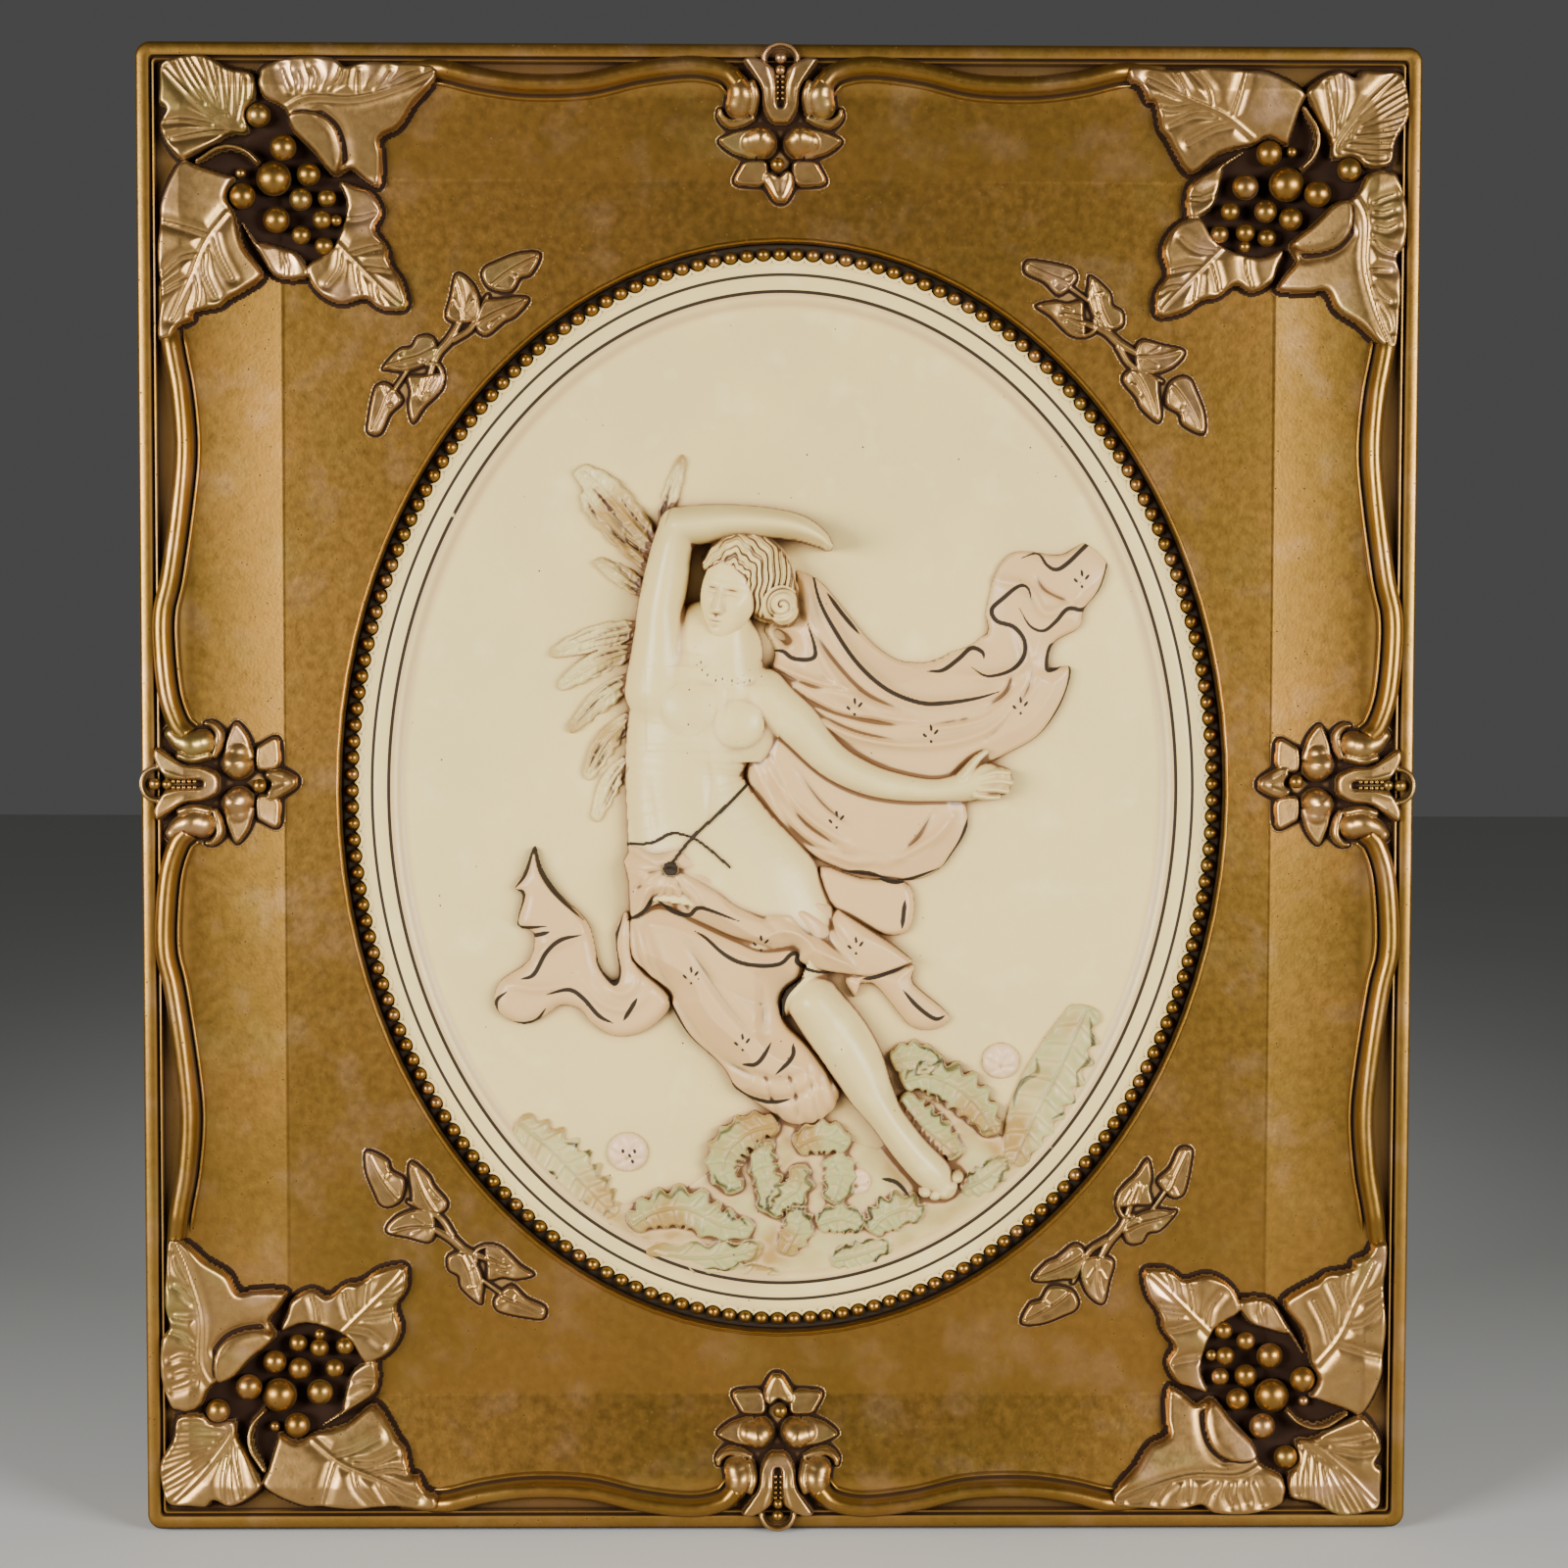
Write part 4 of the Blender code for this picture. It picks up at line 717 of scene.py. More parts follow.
corner_unit = CORNER_REACH / CORNER_SHEET_REACH
CORNER_NAMES = ("top_left", "top_right", "foot_right", "foot_left")
for turns, corner_name in enumerate(CORNER_NAMES):
    across = (-1, 1, 1, -1)[turns] * FRAME_WIDTH / 2
    up = (1, 1, -1, -1)[turns] * FRAME_HEIGHT / 2
    low = (min(across, across - np.sign(across) * CORNER_REACH), min(up, up - np.sign(up) * CORNER_REACH))
    high = (low[0] + CORNER_REACH, low[1] + CORNER_REACH)
    carving = Carving(low, high, CARVING_PITCH)

    def laid(points):
        return on_plan(points, CORNER_SHEET_ORIGIN, corner_unit, (across, up), turns)

    lift = carving.blank()
    carving.pad(lift, laid(CORNER_BED), BED_RISE, BED_EDGE)
    for outline, veins in zip(CORNER_LEAVES, CORNER_VEINS):
        carving.leaf(lift, laid(outline), [laid(vein) for vein in veins], LEAF_RISE, LEAF_PUFF)
    carving.leaf(lift, laid(CORNER_FOLD), [laid(CORNER_VEINS[1][-1])], FOLD_RISE, LEAF_PUFF)
    for outline in CORNER_BUDS:
        carving.leaf(lift, laid(outline), [], LEAF_RISE, 0)
    spot, depth = carving.inner_distance(laid(CORNER_HOLLOW))
    lift[spot] = np.where(depth > 0, np.minimum(lift[spot], BED_RISE), lift[spot])
    carving.limb(lift, laid(CORNER_TENDRIL))
    gold_carving("leaves_" + corner_name, carving, lift)
    berries = laid(CORNER_BERRIES)
    berries[:, 3] *= BERRY_LIFT
    gold_balls("berries_" + corner_name, berries)


# Rosettes. A hooded tongue with a beaded channel between two scroll ends of the rods, over a pair of
# buds and a hanging petal. One at the middle of each side, one casting with the frame.

ROSETTE_LENGTH = 0.0510
ROSETTE_HALF_WIDTH = 0.0260
ROSETTE_LOBE_RISE = 0.0030
ROSETTE_PETAL_RISE = 0.0038
ROSETTE_TONGUE_RISE = 0.0052
ROSETTE_HOLLOW_DEPTH = 0.0024
ROSETTE_HOLLOW_EDGE = 0.0010
ROSETTE_PITCH = 0.00042
ROSETTE_SHEET_ORIGIN = (745, 82)
ROSETTE_SHEET_LENGTH = 1225
ROSETTE_TONGUE = [(445, 215), (520, 185), (610, 215), (680, 260), (745, 260), (810, 260), (880, 215),
                  (970, 185), (1045, 215), (970, 330), (905, 440), (885, 590), (830, 690), (745, 715),
                  (660, 690), (605, 590), (585, 440), (520, 330)]
ROSETTE_HOOD = [(612, 250, 30, 4.2), (618, 180, 32, 5.2), (665, 120, 32, 5.8), (745, 98, 32, 6.0),
                (825, 120, 32, 5.8), (872, 180, 32, 5.2), (880, 250, 30, 4.2)]
ROSETTE_HOLLOW = [(650, 230), (680, 150), (745, 130), (815, 150), (845, 230), (800, 330), (790, 560),
                  (745, 600), (700, 560), (690, 330)]
ROSETTE_TONGUE_RIDGES = [
    [(640, 250), (665, 330), (688, 420), (690, 540)], [(850, 250), (828, 330), (800, 420), (796, 540)],
    [(455, 225), (540, 335), (610, 440), (625, 590)], [(1035, 225), (950, 335), (882, 440), (868, 590)],
]
ROSETTE_HALVES = [
    [(345, 330, 62, 3.4), (400, 400, 92, 5.0), (430, 500, 118, 6.2), (415, 570, 112, 5.6)],
    [(520, 400, 40, 4.4), (545, 500, 44, 4.8), (520, 610, 40, 3.6)],
    [(262, 600, 18, 2.8), (270, 650, 30, 3.2), (340, 700, 40, 3.4), (440, 690, 40, 3.0),
     (520, 660, 26, 2.4)],
    [(500, 850, 100, 4.8), (575, 840, 128, 6.4), (600, 850, 122, 6.2)],
]
ROSETTE_POINTS = [(248, 822), (380, 760), (470, 740), (560, 740), (560, 960), (430, 945), (330, 905)]
ROSETTE_LOBE = [(370, 1120), (420, 1030), (470, 980), (640, 985), (640, 1120), (590, 1170), (470, 1170),
                (400, 1160)]
ROSETTE_PETAL = [(600, 1130), (610, 1075), (670, 1060), (740, 1090), (800, 1045), (850, 1080), (860, 1170),
                 (800, 1290), (740, 1308), (690, 1280), (640, 1200)]
ROSETTE_PETAL_FOLDS = [[(650, 1090), (700, 1180), (740, 1290)], [(820, 1080), (790, 1180), (750, 1290)]]
ROSETTE_BALLS = [(745, 205, 46, 6.2), (742, 300, 40, 5.6), (722, 1010, 56, 5.6)]
ROSETTE_BEADS = [(x, y, 17, 4.4) for y in range(350, 560, 42) for x in (716, 764)]

for turns, rosette_name in enumerate(("top", "right", "foot", "left")):
    middle = [(0.0, FRAME_HEIGHT / 2), (FRAME_WIDTH / 2, SIDE_RISE), (0.0, -FRAME_HEIGHT / 2),
              (-FRAME_WIDTH / 2, SIDE_RISE)][turns]
    reach = ROSETTE_LENGTH + 0.003
    spread = [(ROSETTE_HALF_WIDTH, reach), (reach, ROSETTE_HALF_WIDTH)][turns % 2]
    inner = [(0, -1), (-1, 0), (0, 1), (1, 0)][turns]
    low = [m + (s * min(i, 0) if i else -s) for m, s, i in zip(middle, spread, inner)]
    high = [m + (s * max(i, 0) if i else s) for m, s, i in zip(middle, spread, inner)]
    carving = Carving(low, high, ROSETTE_PITCH)
    rosette_unit = ROSETTE_LENGTH / ROSETTE_SHEET_LENGTH

    def laid(points):
        return on_plan(points, ROSETTE_SHEET_ORIGIN, rosette_unit, middle, turns)

    def mirrored(points):
        return [(2 * ROSETTE_SHEET_ORIGIN[0] - point[0], *point[1:]) for point in points]

    lift = carving.blank()
    for half in (ROSETTE_LOBE, ROSETTE_POINTS):
        carving.leaf(lift, laid(half), [], ROSETTE_LOBE_RISE, 0)
        carving.leaf(lift, laid(mirrored(half)), [], ROSETTE_LOBE_RISE, 0)
    for part in ROSETTE_HALVES:
        carving.limb(lift, laid(part))
        carving.limb(lift, laid(mirrored(part)))
    carving.leaf(lift, laid(ROSETTE_PETAL), [], ROSETTE_PETAL_RISE, 0)
    for fold in ROSETTE_PETAL_FOLDS:
        carving.line(lift, laid(fold), 0.0011, 0.0006)
    carving.leaf(lift, laid(ROSETTE_TONGUE), [], ROSETTE_TONGUE_RISE, 0)
    carving.limb(lift, laid(ROSETTE_HOOD))
    spot, depth = carving.inner_distance(laid(ROSETTE_HOLLOW))
    lift[spot] -= ROSETTE_HOLLOW_DEPTH * np.clip(depth / ROSETTE_HOLLOW_EDGE, 0, 1)
    for ridge in ROSETTE_TONGUE_RIDGES:
        carving.line(lift, laid(ridge), 0.0006, 0.0005)
    gold_carving("rosette_" + rosette_name, carving, lift)
    gold_balls("rosette_beads_" + rosette_name, laid([*ROSETTE_BALLS, *ROSETTE_BEADS]))


# Leaf sprays. Six small leaves on a forked stem lie on the panel beside each quarter of the oval,
# in very low relief, one casting with the frame, with a dark outline of brown dirt and painted shade
# and a bright rim to each leaf.

SPRAY_LENGTH = 0.0850
SPRAY_RISE = 0.0022
SPRAY_PITCH = 0.00040
SPRAY_SHEET_MIDDLE = (818, 755)
SPRAY_SHEET_LENGTH = 1850
SPRAY_ACROSS = 0.1115
SPRAY_UP = 0.1515
SPRAY_LEAVES = [
    [(1030, 260), (1050, 190), (1130, 150), (1300, 85), (1455, 90), (1390, 240), (1310, 270), (1240, 370),
     (1090, 350)],
    [(835, 245), (900, 250), (980, 340), (1020, 480), (990, 580), (850, 600), (765, 550), (800, 400)],
    [(1040, 440), (1150, 420), (1320, 400), (1370, 435), (1270, 550), (1190, 590), (1060, 690), (980, 620)],
    [(300, 925), (420, 790), (510, 770), (560, 695), (670, 700), (690, 850), (500, 950), (350, 945)],
    [(260, 1050), (225, 1130), (195, 1290), (190, 1400), (280, 1410), (350, 1270), (445, 1160),
     (340, 1040)],
    [(480, 990), (590, 980), (740, 970), (715, 1100), (600, 1220), (520, 1330), (485, 1200), (500, 1100)],
]
SPRAY_VEINS = [
    [[(1070, 400), (1110, 320), (1250, 210), (1440, 110)], [(1230, 230), (1290, 200)],
     [(1240, 230), (1290, 270)]],
    [[(840, 260), (880, 400), (890, 580)], [(830, 430), (870, 500)], [(960, 440), (910, 520)]],
    [[(980, 620), (1120, 530), (1360, 430)], [(1100, 600), (1160, 560)], [(1090, 620), (1120, 590)]],
    [[(690, 790), (560, 850), (440, 880), (310, 925)], [(430, 850), (440, 900)], [(560, 850), (600, 900)]],
    [[(430, 1020), (350, 1120), (300, 1240), (230, 1390)], [(330, 1180), (370, 1200)],
     [(300, 1060), (330, 1130)]],
    [[(690, 830), (650, 1000), (590, 1150)], [(580, 1130), (600, 1010), (660, 900)],
     [(640, 1100), (700, 1000)], [(540, 1130), (560, 1060)]],
]
SPRAY_CURL = [(620, 900, 15, 2.0), (700, 900, 15, 2.2), (738, 985, 15, 2.3), (715, 1080, 14, 2.2),
              (650, 1140, 12, 1.8)]
SPRAY_STEMS = [
    [(860, 600, 26, 1.9), (790, 720, 34, 2.1), (700, 830, 30, 2.0), (620, 1050, 20, 1.7)],
    [(1070, 400, 16, 1.4), (960, 620, 26, 1.9), (820, 720, 26, 2.0)],
    [(690, 790, 20, 2.0), (560, 850, 18, 1.9), (430, 1020, 18, 1.5), (320, 1180, 20, 2.4)],
]

spray_unit = SPRAY_LENGTH / SPRAY_SHEET_LENGTH
for turns, spray_name in enumerate(CORNER_NAMES):
    middle = ((-1, 1, 1, -1)[turns] * SPRAY_ACROSS + OVAL_SHIFT, (1, 1, -1, -1)[turns] * SPRAY_UP)
    half = 0.46 * SPRAY_LENGTH
    carving = Carving((middle[0] - half, middle[1] - half), (middle[0] + half, middle[1] + half), SPRAY_PITCH)

    def laid(points):
        return on_plan(points, SPRAY_SHEET_MIDDLE, spray_unit, middle, turns)

    lift = carving.blank()
    for outline, veins in zip(SPRAY_LEAVES, SPRAY_VEINS):
        carving.leaf(lift, laid(outline), [laid(vein) for vein in veins], SPRAY_RISE, 0.0005, 0.0004, 0.0004)
    for stem in SPRAY_STEMS:
        carving.limb(lift, laid(stem))
    carving.limb(lift, laid(SPRAY_CURL))
    gold_carving("spray_" + spray_name, carving, lift)


# Medallion. The ivory oval with its raised border, held in the frame by a hidden flange. Satin
# glazed ceramic, with brown stain and painted shade along the border's step, and dark paint and
# painted shade in the bead channel.

BORDER_LEVEL = 0.0175
CHANNEL_LEVEL = 0.0163
GROUND_LEVEL = 0.0150
FLANGE_LEVEL = 0.0060
OVAL_POINTS = 360
# Margin outside the bead ring's middle, level, share of dark paint and share of brown stain and painted shade
MEDALLION_SECTION = [
    (0.0093, 0.0000, 0.0, 0.0), (0.0093, FLANGE_LEVEL, 0.0, 0.0), (0.0033, FLANGE_LEVEL, 0.0, 1.0),
    (0.0033, CHANNEL_LEVEL, 1.0, 1.0), (0.0022, CHANNEL_LEVEL, 1.0, 1.0),
    (-0.0020, CHANNEL_LEVEL, 1.0, 1.0), (-0.0024, 0.0172, 0.3, 0.7), (-0.0030, BORDER_LEVEL, 0.0, 0.3),
    (-0.0045, BORDER_LEVEL, 0.0, 0.0), (-0.0063, BORDER_LEVEL, 0.0, 0.1), (-0.0065, 0.0174, 0.9, 0.3),
    (-0.0073, 0.0174, 0.9, 0.3), (-0.0076, BORDER_LEVEL, 0.0, 0.1), (-0.0090, 0.0176, 0.0, 0.0),
    (-0.0110, 0.0176, 0.0, 0.0), (-0.0119, BORDER_LEVEL, 0.0, 0.1), (-0.0121, 0.0174, 1.0, 0.3),
    (-0.0130, 0.0174, 1.0, 0.4), (-0.0133, BORDER_LEVEL, 0.0, 0.5), (-0.0145, 0.0174, 0.0, 0.2),
    (-0.0158, 0.0164, 0.0, 0.3), (-0.0168, 0.0154, 0.0, 0.4), (-0.0180, GROUND_LEVEL, 0.0, 0.2),
    (-0.0195, GROUND_LEVEL, 0.0, 0.0),
]
GROUND_START = 0.0215
GROUND_RING_STEP = 0.0022


def ivory(name, shade, ink, tints=()):
    """Ivory glaze: faint clouds, pin-holes, brown stain with painted shade, tinted areas and black-brown
    paint.
    """
    glaze = Finish(name, 0.36, 0.32)
    clouds = glaze.ramp(glaze.noise(0.045, 3), 0.35, 0.65)
    colour = glaze.mixed(clouds, tone(214, 190, 122), tone(206, 185, 120))
    pale = glaze.ramp(glaze.noise(0.014, 3), 0.55, 0.75)
    colour = glaze.mixed(glaze.sums("MULTIPLY", pale, 0.5), colour, tone(226, 206, 146))
    for layer, red, green, blue in tints:
        colour = glaze.mixed(glaze.stored(layer), colour, tone(red, green, blue))
    stain_and_shade = shade(glaze)
    colour = glaze.mixed(glaze.ramp(stain_and_shade, 0.0, 0.55), colour, tone(190, 158, 106))
    colour = glaze.mixed(glaze.ramp(stain_and_shade, 0.45, 1.0), colour, tone(104, 72, 42))
    holes = glaze.ramp(glaze.cells(0.0055), 0.075, 0.045)
    specks = glaze.sums("MULTIPLY", holes, glaze.ramp(glaze.noise(0.02, 2), 0.50, 0.62))
    dark = glaze.sums("MAXIMUM", glaze.sums("MULTIPLY", specks, 0.7), ink(glaze))
    colour = glaze.mixed(glaze.ramp(dark, 0.22, 0.70), colour, tone(40, 28, 12))
    roughness = glaze.sums("ADD", glaze.sums("MULTIPLY", glaze.noise(0.005, 3), 0.16), 0.28)
    roughness = glaze.sums("ADD", roughness, glaze.sums("MULTIPLY", dark, 0.5))
    return glaze.coat(colour, None, roughness, glaze.noise(0.0016, 2), 0.00005)


# Bead ring. A row of small balls modelled in the channel, gilt on top and darkened low down with
# brown dirt and painted shade, each with a cream crescent of bare glaze on its inner side.

BEAD_COUNT = 185
BEAD_RADIUS = 0.0022
BEAD_LEVEL = 0.0170
BEAD_STEPS = (16, 9)
CRESCENT_REACH = 0.0031
CRESCENT_LEVEL = 0.0173
CRESCENT_THICKNESS = 0.0007
CRESCENT_BEND = 1.25

turns = np.linspace(0, 2 * np.pi, 4001)
line = oval_line(0.0, turns)
run = np.concatenate([[0], np.cumsum(np.linalg.norm(np.diff(line, axis=0), axis=1))])
spots = np.interp((np.arange(BEAD_COUNT) + 0.5) / BEAD_COUNT * run[-1], run, turns)
# The beads are darkened low down, in the channel, with brown dirt and painted shade.
bead_gold = old_gold("old_gold_beads", lambda gold: gold.ramp(gold.stored("dirt_and_shade"), 0.2, 0.8), 0.3)
beads = balls([(x, BEAD_LEVEL, z, BEAD_RADIUS) for x, z in oval_line(0.0, spots)], *BEAD_STEPS)
piece_of("bead_ring", beads, bead_gold, "relief_medallion")

crescents = bmesh.new()
for turn in spots:
    middle = oval_line(0.0, np.array([turn]))[0]
    inward = oval_line(-1.0, np.array([turn]))[0] - middle
    inward /= np.linalg.norm(inward)
    rings = []
    for step in np.linspace(-1, 1, 9):
        bend = step * CRESCENT_BEND
        away = np.array([inward[0] * np.cos(bend) - inward[1] * np.sin(bend),
                         inward[0] * np.sin(bend) + inward[1] * np.cos(bend)])
        spot = middle + away * CRESCENT_REACH
        thick = CRESCENT_THICKNESS * np.cos(step * np.pi / 2) ** 0.5 + 0.0001
        ring = []
        for side in np.linspace(0, 2 * np.pi, 6, endpoint=False):
            place = spot + away * thick * np.cos(side)
            ring.append((place[0], -(CRESCENT_LEVEL + thick * np.sin(side)), place[1]))
        rings.append(ring)
    arc = swept(rings)
    mesh = bpy.data.meshes.new("arc")
    arc.to_mesh(mesh)
    arc.free()
    crescents.from_mesh(mesh)
    bpy.data.meshes.remove(mesh)
# Painted shade in the nooks beside each bead, and a few dark specks.
crescent_glaze = ivory("ivory_crescents", lambda glaze: glaze.ramp(glaze.nook(0.002), 0.5, 1.3),
                       lambda glaze: glaze.ramp(glaze.noise(0.004), 0.9, 1.0))
piece_of("bead_crescents", crescents, crescent_glaze, "relief_medallion")


# Dancer. She is modelled in low relief in one with the medallion: a bare body, one arm bent over
# her head, the other held out. Ivory glaze, left pale on the skin and browned in every crease with
# brown stain and painted shade.

FIGURE_PITCH = 0.00046
FIGURE_HEIGHT = 0.2380
FIGURE_RISE = 0.0018
FIGURE_SHEET_ORIGIN = (799, 806)
FIGURE_SHEET_HEIGHT = 721
FIGURE_LOW = (-0.1060, -0.1720)
FIGURE_HIGH = (0.1160, 0.1180)
FIGURE_ROOT = 0.0100
FLESH_BLEND = 0.0030
BREAST_BLEND = 0.0022
BREAST_BASE = 0.0105
BREAST_SLOPE = 0.8
TOE_BLEND = 0.0005
FINGER_BLEND = 0.0002
CREASE_WIDTH = 0.0016
CREASE_DEPTH = 0.0005
FLESH = [
    [(722, 668, 56, 12), (717, 705, 72, 14), (702, 755, 67, 13.5), (696, 800, 61, 12.5), (712, 855, 78, 13),
     (738, 915, 98, 14), (760, 960, 96, 14)],
    [(745, 640, 22, 12), (740, 690, 36, 13)],
    [(668, 705, 34, 14), (671, 654, 28, 14.5), (672, 624, 24.5, 15), (677, 595, 24, 15.5),
     (683, 562, 22, 16.5), (690, 537, 20, 18)],
    [(690, 536, 20, 18), (710, 535, 21, 19), (744, 532, 18.5, 20), (784, 533, 16, 20.5),
     (815, 538, 13.5, 20), (836, 548, 9.5, 18), (845, 556, 5, 16)],
    [(780, 712, 30, 13), (812, 738, 28, 13), (848, 776, 23, 12.5), (884, 796, 20, 12),
     (919, 805, 17.5, 11.5), (954, 808, 15, 10.5), (980, 805, 17, 10), (1005, 798, 20, 9.5),
     (1022, 798, 15, 8.5)],
    [(984, 793, 6, 9.5), (998, 777, 5.5, 8.5), (1009, 768, 4, 7)],
    [(832, 1030, 28, 14), (858, 1066, 31, 14.5), (877, 1096, 29, 14), (892, 1125, 23.5, 13),
     (909, 1151, 19, 12), (931, 1181, 19.5, 11), (955, 1208, 20, 10), (968, 1223, 15, 8)],
]
BREASTS = [(701, 724, 27, 15.4), (753, 740, 25, 15.0)]
FINGERS = [
    [(1003, 793, 5.0, 10.0), (1018, 789, 4.4, 10.0), (1032, 790, 3.6, 8.6)],
    [(1003, 800, 5.0, 10.4), (1020, 798, 4.4, 10.2), (1035, 800, 3.6, 8.8)],
    [(1002, 807, 5.0, 10.2), (1018, 807, 4.4, 10.0), (1031, 809, 3.6, 8.4)],
    [(998, 813, 4.8, 9.4), (1012, 815, 4.2, 9.2), (1022, 815, 3.4, 7.8)],
]
TOES = [(948, 1228, 7, 8), (958, 1231, 7, 8), (967, 1229, 7, 8), (975, 1222, 7, 8), (981, 1213, 7, 8)]
FLESH_LINES = [
    [(735, 660), (742, 700), (740, 735)], [(706, 692), (726, 700), (742, 704)],
    [(748, 704), (768, 696), (784, 690)], [(722, 760), (724, 800), (722, 840)],
    [(660, 800), (664, 830), (668, 860)],
]

figure = Carving(FIGURE_LOW, FIGURE_HIGH, FIGURE_PITCH)
figure_unit = FIGURE_HEIGHT / FIGURE_SHEET_HEIGHT


def drawn(points):
    return on_plan(points, FIGURE_SHEET_ORIGIN, figure_unit, (OVAL_SHIFT, FIGURE_RISE))


def dot(x, y, radius, top):
    return drawn([(x, y, radius, top), (x + 1, y, radius, top)])


flesh = figure.blank()
figure.limb(flesh, drawn(FLESH[0]))
torso = flesh.copy()
for part in FLESH[1:]:
    figure.limb(flesh, drawn(part), FLESH_BLEND)
for breast in BREASTS:
    figure.limb(flesh, dot(*breast), BREAST_BLEND, BREAST_BASE, BREAST_SLOPE)
for toe in TOES:
    figure.limb(flesh, dot(*toe), TOE_BLEND)
for finger in FINGERS:
    figure.limb(flesh, drawn(finger), FINGER_BLEND)
for crease in FLESH_LINES:
    figure.line(flesh, drawn(crease), CREASE_WIDTH, -CREASE_DEPTH)

# Skirts. A thin wrap gathered at a brooch lies over a longer skirt that clings to the thigh and
# gathers behind the shin. Pinkish wash over the ivory, brown stain and painted shade in the folds,
# dark painted hems.

THIGHS = [
    [(690, 905, 60, 14), (750, 948, 56, 16), (806, 985, 44, 17), (846, 1006, 34, 16.5)],
    [(680, 950, 52, 11), (724, 1030, 56, 13.5), (780, 1082, 50, 13.5), (820, 1120, 40, 10)],
    [(880, 968, 44, 9), (915, 985, 34, 7), (950, 1030, 30, 6)],
]
SKIRT = [(632, 866), (660, 864), (686, 852), (706, 857), (744, 888), (763, 908), (801, 919), (838, 922),
         (889, 951), (931, 983), (931, 990), (898, 1002), (880, 1003), (837, 997), (815, 988), (809, 977),
         (794, 987), (761, 986), (720, 960), (700, 946), (686, 934), (668, 930), (658, 940), (641, 943),
         (638, 905)]
UNDERSKIRT = [(645, 930), (639, 977), (656, 1000), (680, 1020), (684, 1036), (702, 1066), (735, 1097),
              (745, 1113), (756, 1138), (790, 1160), (840, 1166), (872, 1150), (860, 1120), (834, 1080),
              (805, 1054), (799, 1036), (804, 1018), (822, 1000), (815, 960), (700, 925)]
FLAP = [(868, 1000), (933, 990), (936, 1010), (970, 1040), (971, 1055), (950, 1061), (920, 1056),
        (895, 1046), (872, 1024)]
SKIRT_FOLDS = [
    [(682, 888), (722, 905), (762, 925), (800, 958)], [(682, 890), (735, 895), (800, 925), (845, 985)],
    [(760, 908), (830, 930), (880, 990)], [(682, 892), (700, 915), (704, 930)],
    [(680, 890), (668, 908), (656, 936)], [(675, 888), (655, 900), (644, 925)],
    [(700, 945), (740, 960), (775, 965), (800, 975)],
]
UNDERSKIRT_FOLDS = [
    [(655, 945), (668, 985), (690, 1030), (730, 1080)], [(700, 965), (728, 1010), (760, 1050), (782, 1062)],
    [(774, 990), (778, 1030), (779, 1060)], [(700, 1050), (730, 1085), (790, 1108), (826, 1100)],
    [(745, 1115), (770, 1130), (810, 1128), (836, 1110)], [(838, 1105), (842, 1135), (850, 1160)],
    [(822, 1125), (818, 1145), (826, 1162)],
]
BROOCH = (683, 888)
PLEATS = [
    [(683, 888), (660, 880), (640, 870)], [(683, 888), (662, 892), (640, 890)],
    [(683, 888), (664, 902), (642, 912)], [(683, 888), (670, 915), (655, 932)],
    [(683, 888), (678, 912), (670, 928)], [(683, 888), (686, 910), (688, 930)],
    [(683, 888), (694, 910), (702, 935)], [(683, 888), (704, 908), (722, 935)],
    [(683, 888), (714, 900), (752, 924)], [(683, 888), (722, 894), (775, 918)],
    [(683, 888), (728, 890), (800, 920), (850, 950)], [(690, 884), (730, 882), (770, 905)],
    [(700, 872), (716, 884), (738, 892)],
]
UNDERSKIRT_PLEATS = [
    [(780, 1100), (788, 1130), (800, 1158)], [(800, 1092), (812, 1122), (814, 1160)],
    [(826, 1096), (832, 1130), (838, 1164)], [(846, 1100), (854, 1130), (866, 1150)],
    [(650, 950), (662, 990), (672, 1012)], [(644, 950), (652, 985), (660, 1000)],
]

# Hem height and slope of each layer of cloth, and width and depth of its folds
THIGH_BLEND = 0.0018
SKIRT_OVER_BODY = 0.0006
UNDERSKIRT_HEM = (0.0038, 0.9)
SKIRT_HEM = (0.0062, 1.1)
FLAP_HEM = (0.0028, 0.6)
UNDERSKIRT_FOLD = (0.0018, -0.0016)
UNDERSKIRT_PLEAT = (0.0009, -0.0012)
SKIRT_FOLD = (0.0014, -0.0015)
SKIRT_PLEAT = (0.0007, -0.0009)
THIGH_UNDER_SKIRT = 0.001
SKIRT_OVER_THIGH = 0.0012
SKIRT_OVER_FLESH = 0.0008

thighs = figure.blank()
for part in THIGHS:
    figure.limb(thighs, drawn(part), THIGH_BLEND)
skirt = figure.blank()
figure.cloth(skirt, np.maximum(thighs, torso + SKIRT_OVER_BODY), drawn(UNDERSKIRT), *UNDERSKIRT_HEM)
for fold in UNDERSKIRT_FOLDS:
    figure.line(skirt, drawn(fold), *UNDERSKIRT_FOLD)
for pleat in UNDERSKIRT_PLEATS:
    figure.line(skirt, drawn(pleat), *UNDERSKIRT_PLEAT)
spot, depth = figure.inner_distance(drawn(UNDERSKIRT))
under = np.minimum(flesh[spot], skirt[spot] - THIGH_UNDER_SKIRT)
flesh[spot] = np.where(depth > 0.0004, under, flesh[spot])
wrap = figure.blank()
over = np.maximum(thighs + SKIRT_OVER_THIGH, flesh + SKIRT_OVER_FLESH)
figure.cloth(wrap, over, drawn(SKIRT), *SKIRT_HEM)
figure.cloth(wrap, thighs, drawn(FLAP), *FLAP_HEM)
for fold in SKIRT_FOLDS:
    figure.line(wrap, drawn(fold), *SKIRT_FOLD)
for pleat in PLEATS:
    figure.line(wrap, drawn(pleat), *SKIRT_PLEAT)

# Belt. Two thin cords modelled on the body cross over the hip, and one ends in a round brooch. Part
# of the same casting, painted dark like the hems.

